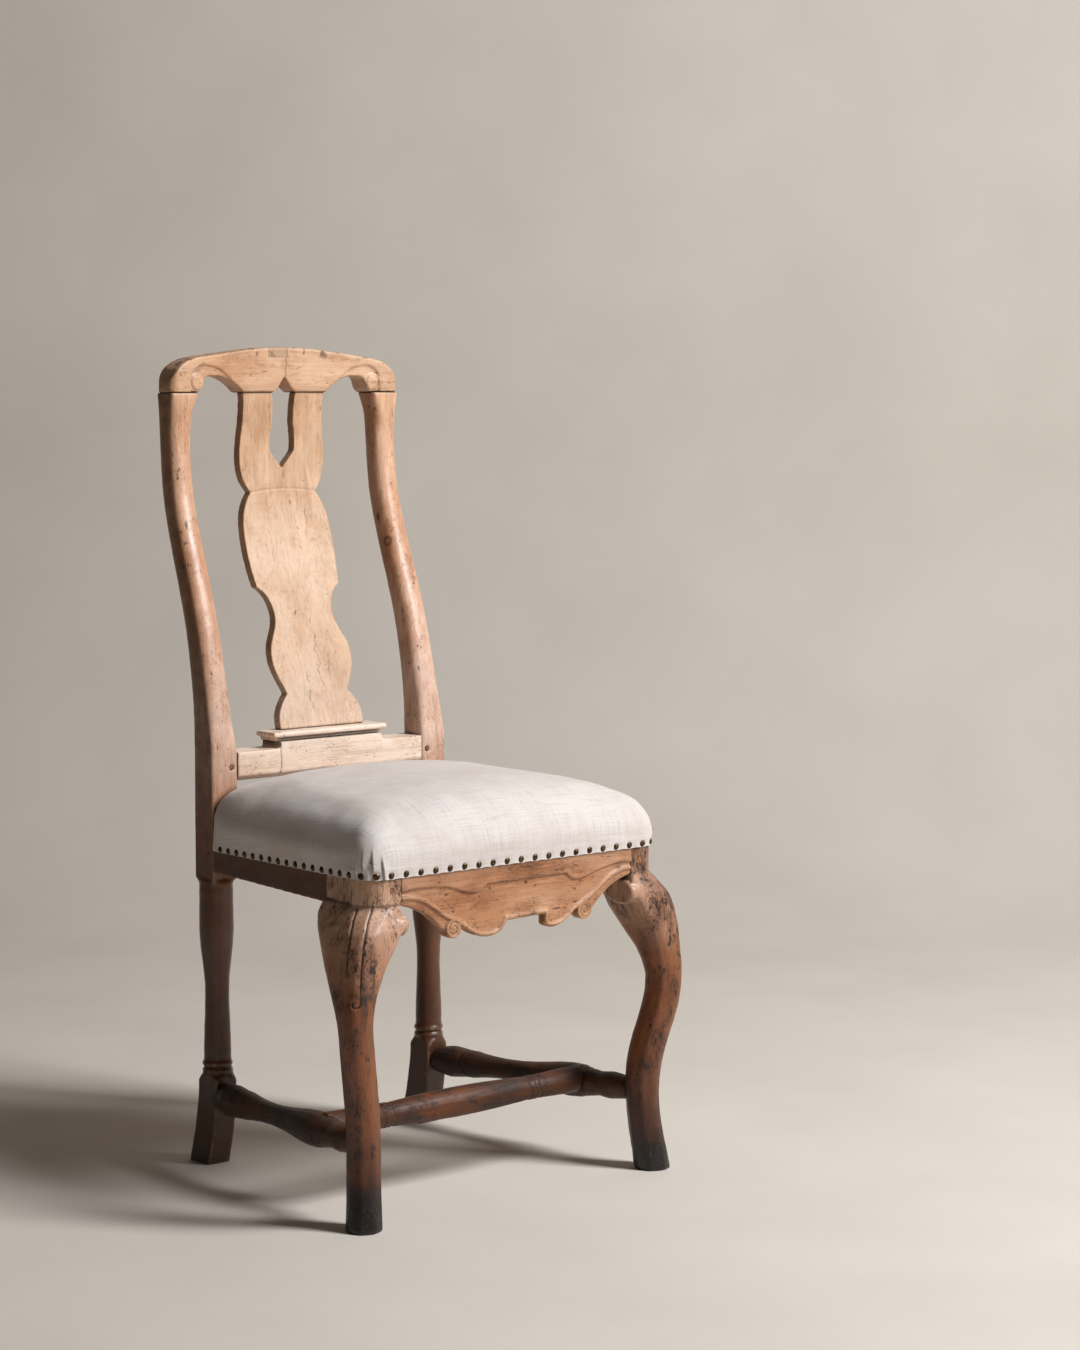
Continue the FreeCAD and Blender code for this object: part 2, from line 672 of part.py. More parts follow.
def crowned_section(y, half_width, bottom, side_top, middle_top, radius):
    """Upright section of the pad: straight sides, rounded shoulders and a crowned top."""
    bend = radius * (1 - 1 / math.sqrt(2))
    left_foot = V(-half_width, y, bottom)
    right_foot = V(half_width, y, bottom)
    sides = [V(sign * half_width, y, side_top - radius) for sign in (-1, 1)]
    bends = [V(sign * (half_width - bend), y, side_top - bend) for sign in (-1, 1)]
    shoulders = [V(sign * (half_width - radius), y, side_top) for sign in (-1, 1)]
    return Part.Wire([
        line(left_foot, sides[0]), Part.Arc(sides[0], bends[0], shoulders[0]).toShape(),
        Part.Arc(shoulders[0], V(0, y, middle_top), shoulders[1]).toShape(),
        Part.Arc(shoulders[1], bends[1], sides[1]).toShape(), line(sides[1], right_foot),
        line(right_foot, left_foot)])


def make_pad(offset, bottom, build):
    """Crowned pad, moved outwards by offset, from a given bottom height, its sections joined by build."""
    sections = []
    last = len(pad_sections) - 1
    base = pad_bottom + offset
    for i, (behind, side_height, middle_height) in enumerate(pad_sections):
        y = seat_front_y + behind
        shift = -offset if i == 0 else offset if i == last else 0.0
        sections.append(crowned_section(y + shift, pad_half_width(y) + offset, bottom, base + side_height,
                                        base + middle_height, pad_shoulder_radius + offset))
    tongue = []
    for before, side_height, middle_height in tongue_sections:
        y = rear_rail_back_y - before if before else rear_rail_back_y + offset
        tongue.append(crowned_section(y, tongue_half_width + offset, bottom, base + side_height,
                                      base + middle_height, tongue_shoulder_radius + offset))
    return build(sections).fuse(packed_flat(tongue))


def drawn_tight(sections):
    """Ruled surface through the sections, as linen lies when it is drawn tight."""
    return Part.makeLoft(sections, True, True)


def packed_flat(sections):
    """Flats between points on the sections, as stuffing packs."""
    rings = []
    for section in sections:
        ring = []
        for edge in section.Edges:
            straight = edge.Curve.TypeId == "Part::GeomLine"
            ring += edge.discretize(Number=2 if straight else stuffing_points)[:-1]
        rings.append(ring)
    return skin(rings)


def make_cover():
    """Linen drawn over the pad and down the front, sides and back of the seat frame."""
    skirt_bottom = cover_edge_rear_z - tool_overrun
    skirt_top = pad_bottom + cover_lap
    outer = seat_plan(cover_thickness, post_front_y - seat_back_gap).extrude(UP * (skirt_top - skirt_bottom))
    outer.translate(UP * skirt_bottom)
    inner = seat_plan(0.0, post_front_y).extrude(UP * (skirt_top - skirt_bottom + tool_overrun))
    inner.translate(UP * (skirt_bottom - tool_overrun))
    flap_front_y = post_front_y - cover_flap_lap
    flap_half_width = tongue_half_width + cover_thickness
    flap_outer = block(-flap_half_width, flap_half_width, flap_front_y, rear_rail_back_y + cover_thickness,
                       skirt_bottom, skirt_top)
    flap_inner = block(-post_outer_x, post_outer_x, flap_front_y - cover_lap, rear_rail_back_y,
                       skirt_bottom - tool_overrun, pad_bottom + cover_lap / 2)
    shell = make_pad(cover_thickness, pad_bottom, drawn_tight).multiFuse([outer, flap_outer])
    shell = shell.cut(make_pad(0.0, pad_bottom - cover_lap, packed_flat)).cut(inner).cut(flap_inner)

    reach = seat_corner_x + tool_overrun
    level_y = seat_front_y + cover_edge_level
    back_y = rear_rail_back_y + tool_overrun
    profile = [(seat_front_y - tool_overrun, cover_edge_front_z), (level_y, cover_edge_front_z),
               (back_y, cover_edge_z(back_y)), (back_y, skirt_bottom - tool_overrun),
               (seat_front_y - tool_overrun, skirt_bottom - tool_overrun)]
    trim = flat([V(-reach, y, z) for y, z in profile]).extrude(V(2 * reach, 0, 0))
    return shell.cut(trim).removeSplitter()


def cover_edge_z(y):
    """Height of the linen's lower edge at a given Y: level across the front, then falling to the rear."""
    fall = (cover_edge_rear_z - cover_edge_front_z) / (post_front_y - seat_front_y)
    return cover_edge_front_z + fall * max(y - seat_front_y - cover_edge_level, 0.0)


def tack_places():
    """Point on the linen and outward direction of every tack."""
    places = []
    front = V(0, -1, 0)
    reach = corner_centre.x
    for i in range(front_tack_count):
        x = -reach + 2 * reach * i / (front_tack_count - 1)
        places.append((V(x, seat_front_y - cover_thickness, 0), front))
    start = corner_arc(0.0)[2]
    end_y = post_front_y - side_tack_end_gap
    for i in range(side_tack_count):
        y = start.y + (end_y - start.y) * (i + side_tack_start) / side_tack_count
        point = V(side_x(y), y, 0) + side_normal * cover_thickness
        places.append((point, side_normal))
        places.append((V(-point.x, point.y, 0), V(-side_normal.x, side_normal.y, 0)))
    for share in corner_tack_shares:
        angle = -math.pi / 2 + corner_turn * share
        way = V(math.cos(angle), math.sin(angle), 0)
        point = corner_centre + way * (seat_corner_radius + cover_thickness)
        places.append((point, way))
        places.append((V(-point.x, point.y, 0), V(-way.x, way.y, 0)))
    for point, way in places:
        point.z = cover_edge_z(point.y) + tack_above_edge
    return places


def make_tack(point, way):
    """Hammered head with flat facets on a cut shank, and the shank alone."""
    rings = []
    for radius, height in ((tack_head_radius, 0.0), (tack_crown_radius, tack_head_height)):
        angles = [2 * math.pi * (i + 0.5) / tack_sides for i in range(tack_sides)]
        rings.append([V(radius * math.cos(angle), radius * math.sin(angle), height) for angle in angles])
    head = skin(rings)
    shank_corners = []
    for i in range(tack_shank_sides):
        angle = 2 * math.pi * i / tack_shank_sides
        shank_corners.append(V(tack_shank_radius * math.cos(angle), tack_shank_radius * math.sin(angle), 0))
    shank = flat(shank_corners).extrude(UP * -tack_shank_length)
    turn = FreeCAD.Rotation(V(0, 0, 1), way)
    placement = FreeCAD.Placement(point, turn)
    tack = head.fuse(shank)
    tack.Placement = placement
    shank.Placement = placement
    return tack, shank


def bead_run(points):
    """Raised bead with bevelled sides along a run in the front view, straight if it has two points."""
    straight = len(points) == 2
    if straight:
        reach = (points[1] - points[0]).normalize() * apron_bead_crown
        points = [points[0] - reach, points[1] + reach]
    ways = []
    for i in range(len(points)):
        along = points[min(i + 1, len(points) - 1)] - points[max(i - 1, 0)]
        ways.append(V(-along.z, 0, along.x).normalize())
    outlines = []
    for half_width, lift in ((apron_bead_radius, -apron_bead_root), (apron_bead_crown, apron_bead_radius)):
        forward = V(0, -lift, 0)
        upper = [p + forward + way * half_width for p, way in zip(points, ways)]
        lower = [p + forward - way * half_width for p, way in zip(points, ways)][::-1]
        sides = [line(*upper), line(*lower)] if straight else [curve(upper), curve(lower)]
        outlines.append(Part.Wire([sides[0], line(upper[-1], lower[0]), sides[1], line(lower[-1], upper[0])]))
    return Part.makeLoft(outlines, True, True)


def make_apron():
    """Front rail with scalloped edge, hanging volutes, sunk field and two beads, without tenons."""
    face_y = seat_front_y + apron_field_depth
    tip = (apron_volute_x + apron_volute_tip[0], apron_volute_z + apron_volute_tip[1])
    foot = (apron_half_length, apron_bottom_at_leg)
    edges = [line(V(-apron_half_length, face_y, rail_top), V(apron_half_length, face_y, rail_top))]
    lobes = {1: (right_lobe_rise, right_lobe_end), -1: (left_lobe_rise, left_lobe_end)}
    for side, (rise, end) in lobes.items():
        top, corner = front_points([(apron_half_length, rail_top), foot], face_y, side)
        edges.append(line(top, corner))
        edges.append(curve(front_points([foot] + apron_scroll_edge + [tip], face_y, side)))
        edges.append(line(*front_points([tip, apron_lobe_start], face_y, side)))
        lobe = front_points([apron_lobe_start, apron_lobe_shoulder, apron_lobe_bottom], face_y, side)
        rise_point = V(rise[0], face_y, rise[1])
        edges.append(curve(lobe + [rise_point]))
        edges.append(line(rise_point, V(end[0], face_y, end[1])))
    edges.append(line(*front_points([left_lobe_end, right_lobe_end], face_y)))
    board = front_prism(edges, rail_thickness - apron_field_depth)
    board = board.cut(block(-apron_half_length, apron_half_length, seat_front_y + apron_lower_thickness,
                            seat_front_y + rail_thickness, apron_cut_below, apron_thin_below))

    left_ridge = [V(x, seat_front_y, z) for x, z in apron_ridge_left]
    right_ridge = [V(x, seat_front_y, z) for x, z in apron_ridge_right]
    top_left = V(left_ridge[0].x, seat_front_y, rail_top)
    top_right = V(right_ridge[0].x, seat_front_y, rail_top)
    band = front_prism([line(top_left, left_ridge[0]), curve(left_ridge),
                        line(left_ridge[-1], right_ridge[-1]), curve(right_ridge),
                        line(right_ridge[0], top_right), line(top_right, top_left)],
                       apron_field_depth + apron_bead_root)

    lift = V(0, 0, apron_bead_radius)
    to_face = V(0, apron_field_depth, 0)
    runs = [[p + to_face for p in left_ridge], [p + to_face for p in right_ridge]]
    runs.append([runs[0][-1], runs[1][-1]])
    volutes = []
    middle = []
    for side, (rise, end) in lobes.items():
        to_leg = front_points(apron_bead_to_leg, face_y, side)
        lobe = front_points([apron_lobe_start, apron_lobe_shoulder, apron_lobe_bottom], face_y, side)
        rise_point = V(rise[0], face_y, rise[1]) + lift
        middle.append(V(end[0], face_y, end[1]) + lift)
        runs.append(to_leg + [p + lift for p in lobe] + [rise_point])
        runs.append([rise_point, middle[-1]])
        centre = V(side * apron_volute_x, seat_front_y - apron_bead_root, apron_volute_z)
        volutes.append(Part.makeCylinder(apron_volute_radius, apron_lower_thickness + apron_bead_root, centre,
                                         V(0, 1, 0)))
    runs.append(middle)
    apron = board.fuse(band)
    for volute in volutes:
        apron = apron.fuse(volute)
    for run in runs:
        apron = apron.fuse(bead_run(run))
    span = block(-apron_half_length, apron_half_length, seat_front_y - 2 * apron_bead_radius,
                 seat_front_y + rail_thickness, apron_cut_below, rail_top)
    return apron.common(span).removeSplitter()


def side_strip(inset, thickness, y_low, y_high, z_low, z_high, grow=0.0):
    """Length of the right side rail: a slanted strip a given inset behind the seat's outer side."""
    slant = math.hypot(1, side_slope)
    near = (inset - grow) * slant
    far = (inset + thickness + grow) * slant
    low, high = y_low - grow, y_high + grow
    points = [(side_x(low) - far, low), (side_x(low) - near, low),
              (side_x(high) - near, high), (side_x(high) - far, high)]
    return plan_prism(points, z_low - grow, z_high + grow)


def make_shoe():
    """Moulded cap under the splat: a round-nosed bead over a narrower neck."""
    neck_top = plinth_top + shoe_neck_height
    neck = block(-shoe_half_length + shoe_neck_inset, shoe_half_length - shoe_neck_inset,
                 shoe_front_y + shoe_neck_inset, post_back_y, plinth_top, neck_top)
    cap = block(-shoe_half_length, shoe_half_length, shoe_front_y, post_back_y, neck_top, splat_foot_z)
    nose = [e for e in cap.Edges if e.BoundBox.ZLength < 0.1 and e.BoundBox.YMin < post_back_y - 0.1]
    return neck.fuse(cap.makeFillet(shoe_bead_radius, nose)).removeSplitter()


def make_cross_stretcher(half_length):
    """Turned cross stretcher along X through its axis height, to a given half length."""
    neck = cross_stretcher_neck_radius
    crown = cross_stretcher_ring_radius
    shallow = (neck + 2 * cross_stretcher_middle_radius) / 3
    ring = cross_stretcher_ring_x
    land, groove = cross_stretcher_ring_width, cross_stretcher_groove
    ring_low, ring_high = ring - land - groove, ring + land + groove
    half = [
        [(ring_low, crown), (ring - groove, crown)],
        [(ring, neck), (ring + groove, crown)],
        [(ring_high, crown), (ring_high + groove, neck)],
        [(ring_high + groove, neck), ((ring + half_length) / 2, (neck + cross_stretcher_end_radius) / 2),
         (half_length, cross_stretcher_end_radius)],
    ]
    middle_end = ring_low - groove
    middle = [(-middle_end, neck), (-ring / 2, shallow), (0.0, cross_stretcher_middle_radius),
              (ring / 2, shallow), (middle_end, neck)]
    left_half = [[(-d, r) for d, r in reversed(run)] for run in reversed(half)]
    return turned(left_half + [middle] + half, V(0, cross_stretcher_y, cross_stretcher_z), V(1, 0, 0))


def tenon_rod(radius, start, way, length):
    """Shaved round tenon with the same narrow flats as the turning."""
    return turned([[(0.0, radius), (length, radius)]], start, way)


# Solid bodies before their joints are cut
parts = {}
post = make_post()
leg = make_front_leg()
crest = make_crest()
splat = make_splat()
apron = make_apron().cut(leg).cut(mirrored(leg))
shoe = make_shoe()

# Side stretcher, scribed to the legs, with round tenons along its axis
stretcher_way = (side_stretcher_front - side_stretcher_rear).normalize()
stretcher_length = side_stretcher_front.distanceToPoint(side_stretcher_rear)
side_stretcher = turned(side_stretcher_profile, side_stretcher_rear, stretcher_way).cut(post).cut(leg)
side_stretcher = sorted(side_stretcher.Solids, key=lambda solid: solid.Volume)[-1]
rod = tenon_rod(side_stretcher_tenon_radius, side_stretcher_rear, stretcher_way, stretcher_length)
side_stretcher = side_stretcher.fuse(rod).removeSplitter()
stretcher_hole = tenon_rod(side_stretcher_tenon_radius + fit_clearance,
                           side_stretcher_rear - stretcher_way * fit_clearance, stretcher_way,
                           stretcher_length + 2 * fit_clearance)
post = post.cut(stretcher_hole)
leg = leg.cut(stretcher_hole)

# Cross stretcher between the side stretchers
share = (side_stretcher_rear.y - cross_stretcher_y) / (side_stretcher_rear.y - side_stretcher_front.y)
stretcher_z = side_stretcher_rear.z + share * (side_stretcher_front.z - side_stretcher_rear.z)
cross_stretcher_z = stretcher_z + cross_stretcher_rise
cross_end_x = side_stretcher_rear.x + share * (side_stretcher_front.x - side_stretcher_rear.x)
cross = make_cross_stretcher(cross_end_x).cut(side_stretcher).cut(mirrored(side_stretcher))
cross = sorted(cross.Solids, key=lambda solid: solid.Volume)[-1]
cross_end = V(-cross_end_x, cross_stretcher_y, cross_stretcher_z)
cross = cross.fuse(tenon_rod(cross_stretcher_tenon_radius, cross_end, V(1, 0, 0), 2 * cross_end_x))
cross_hole = tenon_rod(cross_stretcher_tenon_radius + fit_clearance, cross_end - V(fit_clearance, 0, 0),
                       V(1, 0, 0), 2 * (cross_end_x + fit_clearance))
side_stretcher = side_stretcher.cut(cross_hole)
parts["cross_stretcher"] = cross.removeSplitter()

# Apron tenons and the pegs that hold them
front_tenon = (rail_middle_y - tenon_thickness / 2, rail_middle_y + tenon_thickness / 2,
               tenon_bottom, tenon_top)
apron_tenon_end = apron_half_length + front_tenon_length
apron = apron.fuse(block(-apron_tenon_end, apron_tenon_end, *front_tenon))
leg = leg.cut(block(0, apron_tenon_end, *front_tenon, grow=fit_clearance))

# Side rails with tenons into the leg block and the post
rail_inset = (rail_thickness - tenon_thickness) / 2
side_rail = side_strip(0.0, rail_thickness, leg_block_back_y, post_front_y, rail_bottom, side_rail_top)
side_rail = side_rail.cut(leg)
side_tenon = (rail_inset, tenon_thickness, leg_block_back_y - side_tenon_length,
              post_front_y + side_tenon_length, tenon_bottom, tenon_top)
side_rail = side_rail.fuse(side_strip(*side_tenon))
leg = leg.cut(side_strip(*side_tenon, grow=fit_clearance))
post = post.cut(side_strip(*side_tenon, grow=fit_clearance))

# Rear seat rail and lower back rail between the posts
rear_tenon = (post_block_y - tenon_thickness / 2, post_block_y + tenon_thickness / 2)
rear_reach = post_inner_x + rail_tenon_length
rear_rail = block(-post_inner_x, post_inner_x, rear_rail_front_y, rear_rail_back_y, rail_bottom, rail_top)
rear_rail = rear_rail.fuse(block(-rear_reach, rear_reach, *rear_tenon, tenon_bottom, tenon_top))
lower_rail = block(-post_inner_x, post_inner_x, post_front_y, post_back_y, lower_rail_bottom, lower_rail_top)
bevel = [e for e in lower_rail.Edges
         if e.BoundBox.YMax < post_front_y + 0.1 and e.BoundBox.ZMax < lower_rail_bottom + 0.1]
lower_rail = lower_rail.makeChamfer(lower_rail_bevel, bevel)
plinth = block(-plinth_half_length, plinth_half_length, post_front_y, post_back_y,
               lower_rail_top - joint_overlap, plinth_top)
lower_middle = (lower_rail_bottom + lower_rail_top) / 2
lower_tenon = (*rear_tenon, lower_middle - lower_rail_tenon_height / 2,
               lower_middle + lower_rail_tenon_height / 2)
lower_rail = lower_rail.multiFuse([plinth, block(-rear_reach, rear_reach, *lower_tenon)])
post = post.cut(block(0, rear_reach, *rear_tenon, tenon_bottom, tenon_top, grow=fit_clearance))
post = post.cut(block(0, rear_reach, *lower_tenon, grow=fit_clearance))

# Splat tenons: two up into the crest, one down through the shoe into the plinth
splat_top_y = splat_front_line[0][0] + splat_thickness / 2
splat_foot_y = splat_front_line[-1][0] + splat_thickness / 2
half_tenon = splat_tenon_thickness / 2
top_tenon = (splat_top_y - half_tenon, splat_top_y + half_tenon,
             crest_joint_z - joint_overlap, crest_joint_z + splat_tenon_height)
foot_tenon = (-splat_foot_tenon_half_width, splat_foot_tenon_half_width, splat_foot_y - half_tenon,
              splat_foot_y + half_tenon, splat_foot_z - splat_foot_tenon_depth, splat_foot_z + joint_overlap)
for inner, outer in ((splat_tenon_inner_x, splat_tenon_outer_x),
                     (-splat_tenon_outer_x, -splat_tenon_inner_x)):
    splat = splat.fuse(block(inner, outer, *top_tenon))
    crest = crest.cut(block(inner, outer, *top_tenon, grow=fit_clearance))
splat = splat.fuse(block(*foot_tenon))
shoe = shoe.cut(block(*foot_tenon, grow=fit_clearance))
lower_rail = lower_rail.cut(block(*foot_tenon, grow=fit_clearance))

# Post tenons up into the crest
post_tenon_x = (post_top_inner_x + post_top_outer_x) / 2
post_tenon = (post_tenon_x - post_tenon_width / 2, post_tenon_x + post_tenon_width / 2,
              post_top_y - post_tenon_thickness / 2, post_top_y + post_tenon_thickness / 2,
              crest_joint_z - joint_overlap, crest_joint_z + post_tenon_height)
post = post.fuse(block(*post_tenon))
for hole in (block(*post_tenon, grow=fit_clearance), mirrored(block(*post_tenon, grow=fit_clearance))):
    crest = crest.cut(hole)

# Pegs through the joints, each group driven from the face named
peg_z = (tenon_bottom + tenon_top) / 2
apron_peg = peg(V(apron_half_length + front_tenon_length / 2, seat_front_y, peg_z), V(0, 1, 0), peg_length)
side_peg_y = leg_block_back_y - side_tenon_length / 2
side_peg = peg(V(side_x(side_peg_y), side_peg_y, peg_z), side_normal * -1, peg_length)
post_peg = peg(V(post_outer_x, post_front_y + side_tenon_length / 2, peg_z), V(-1, 0, 0), rail_tenon_length)
lower_peg = peg(V(post_inner_x + rail_tenon_length / 2, post_front_y, lower_middle), V(0, 1, 0), peg_length)
crest_peg = peg(V(post_tenon_x, crest_back_y, crest_joint_z + post_tenon_height / 2), V(0, -1, 0), peg_length)
leg = leg.cut(apron_peg).cut(side_peg)
side_rail = side_rail.cut(side_peg).cut(post_peg)
post = post.cut(post_peg).cut(lower_peg).cut(crest_peg)
for hole in (apron_peg, mirrored(apron_peg)):
    apron = apron.cut(hole)
for hole in (lower_peg, mirrored(lower_peg)):
    lower_rail = lower_rail.cut(hole)
for hole in (crest_peg, mirrored(crest_peg)):
    crest = crest.cut(hole)
parts["apron_pegs"] = Part.makeCompound([apron_peg, mirrored(apron_peg)])
parts["front_leg_pegs"] = Part.makeCompound([side_peg, mirrored(side_peg)])
parts["post_pegs"] = Part.makeCompound([post_peg, mirrored(post_peg)])
parts["lower_rail_pegs"] = Part.makeCompound([lower_peg, mirrored(lower_peg)])
parts["crest_pegs"] = Part.makeCompound([crest_peg, mirrored(crest_peg)])

# Webbing, base cloth and stuffing
strap_front_y = seat_front_y + strap_front_inset
strap_back_y = rear_rail_back_y - strap_back_inset
middle_y = (seat_front_y + post_front_y) / 2
lengthwise = []
crosswise = []
for i in range(strap_count):
    step = i - (strap_count - 1) / 2
    x = step * strap_spacing_x
    y = middle_y + step * strap_spacing_y
    lengthwise.append(block(x - strap_width / 2, x + strap_width / 2, strap_front_y, strap_back_y,
                            rail_top, rail_top + strap_thickness))
    reach = side_x(y + strap_width / 2) - strap_side_inset
    crosswise.append(block(-reach, reach, y - strap_width / 2, y + strap_width / 2,
                           side_rail_top, base_cloth_bottom))
parts["webbing_lengthwise"] = Part.makeCompound(lengthwise)
parts["webbing_crosswise"] = Part.makeCompound(crosswise)
cloth = seat_plan(-base_cloth_inset, post_front_y - base_cloth_back_gap).extrude(UP * base_cloth_thickness)
cloth.translate(UP * base_cloth_bottom)
cloth_half_width = post_inner_x - base_cloth_tongue_gap
cloth = cloth.fuse(block(-cloth_half_width, cloth_half_width, middle_y, rear_rail_back_y - seat_back_gap,
                         base_cloth_bottom, pad_bottom))
parts["base_cloth"] = cloth.removeSplitter()
parts["seat_stuffing"] = make_pad(0.0, pad_bottom, packed_flat).removeSplitter()
cover = make_cover()

# Tacks round the linen's edge
tacks = [make_tack(point, way) for point, way in tack_places()]
shanks = Part.makeCompound([shank for tack, shank in tacks])
parts["cover_tacks"] = Part.makeCompound([tack for tack, shank in tacks])
parts["linen_cover"] = cover.cut(shanks)
parts["front_seat_rail"] = apron.removeSplitter().cut(shanks)
parts["rear_seat_rail"] = rear_rail.removeSplitter()
parts["lower_back_rail"] = lower_rail.removeSplitter()
parts["splat_shoe"] = shoe
parts["splat"] = splat.removeSplitter()
parts["crest_rail"] = crest
parts["front_leg_right"] = leg.cut(shanks)
parts["front_leg_left"] = mirrored(leg).cut(shanks)
parts["side_seat_rail_right"] = side_rail.removeSplitter().cut(shanks)
parts["side_seat_rail_left"] = mirrored(side_rail.removeSplitter()).cut(shanks)
for name, solid in (("back_post", post), ("side_stretcher", side_stretcher)):
    parts[name + "_right"] = solid
    parts[name + "_left"] = mirrored(solid)

# Move the chair so that the middle of its footprint is the origin, and write every piece
extent = Part.makeCompound(list(parts.values())).BoundBox
shift = V(-extent.Center.x, -extent.Center.y, -extent.ZMin)
for name, shape in parts.items():
    shape.translated(shift).exportStep("parts/" + name + ".step")
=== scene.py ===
import math

import bmesh
import bpy
import numpy as np
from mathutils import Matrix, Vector, noise
from mathutils.bvhtree import BVHTree


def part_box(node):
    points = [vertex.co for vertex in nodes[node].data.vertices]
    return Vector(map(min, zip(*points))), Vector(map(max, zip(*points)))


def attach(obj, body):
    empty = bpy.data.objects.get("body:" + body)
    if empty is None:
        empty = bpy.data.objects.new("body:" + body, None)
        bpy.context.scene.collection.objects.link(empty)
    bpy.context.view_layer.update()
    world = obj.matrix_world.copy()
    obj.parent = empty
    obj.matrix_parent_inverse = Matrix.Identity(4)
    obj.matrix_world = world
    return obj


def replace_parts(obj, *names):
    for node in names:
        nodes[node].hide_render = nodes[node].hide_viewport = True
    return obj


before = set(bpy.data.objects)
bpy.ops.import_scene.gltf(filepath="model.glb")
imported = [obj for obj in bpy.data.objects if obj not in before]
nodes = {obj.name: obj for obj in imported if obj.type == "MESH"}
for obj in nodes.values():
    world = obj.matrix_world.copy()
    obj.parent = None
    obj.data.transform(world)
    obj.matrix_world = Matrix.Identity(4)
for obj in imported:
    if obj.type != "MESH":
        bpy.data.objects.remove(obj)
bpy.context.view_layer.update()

# Baroque side chair: aged birch frame and a linen seat nailed over the rails.
# Metres, +Z up, the chair faces -Y. MM turns the sizes below, in millimetres, into metres.
MM = 0.001

# Where the drawn sizes stand in the frame: Y of the front feet in metres, and their place in mm
FEET_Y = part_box("linen_cover")[0].y + 15.5 * MM
FEET = np.array((0.0, FEET_Y / MM, 0.0))

# Carving: middles as X and height in the front view
CREST_BUTTON = (148.4, 1048.0)
CREST_BUTTON_RADIUS = 10.2
APRON_VOLUTE = (110.0, 366.0)
APRON_VOLUTE_RADIUS = 11.5
SPIRAL_PITCH = 5.0
# What softening takes off a rounded piece all round, which is given back
SOFTENED_LOSS = 0.7
# How far a full mark sinks into the wood
MARK_DEPTH = 0.3
NECK_LINE_Z = 898.0
CREST_JOINT_Z = 1035.0
# Height of the black on the left and the right hoof
HOOF_TOPS = (49.0, 41.0)
KNEE_CORNER = (240.5, -14.0)
KNEE_TOP_Z = 405.0
KNEE_TIP_Z = 288.0
# Each knee groove: its distance from the corner round the outer side, and the height that it ends at
KNEE_GROOVES = ((0.0, 288.0), (19.0, 322.0))
# How far the corner of the knee leans towards the outer side: heights and distances
KNEE_LEAN = ((288.0, 328.0, 354.0, 374.0, 391.0, 405.0), (10.5, 9.7, 8.0, 6.0, 4.0, 0.0))
EAR_OUTER_X, EAR_BOTTOM_Z = 203.0, 358.0
# Where the cut rings are: Y on a side stretcher, and X on both ends of the cross stretcher
SIDE_RINGS_Y, CROSS_RINGS_X = (103.0, 320.5), 124.0
# Passes that take the steps off a remeshed piece of wood
STEP_PASSES = 3
# By how many metres the blotches shift the tones up and down
TONE_SHIFT = 0.05


def linear(hex_text):
    """sRGB hex as linear red, green, blue and full alpha."""
    shades = [int(hex_text[i:i + 2], 16) / 255 for i in (1, 3, 5)]
    return [s / 12.92 if s <= 0.04045 else ((s + 0.055) / 1.055) ** 2.4 for s in shades] + [1.0]


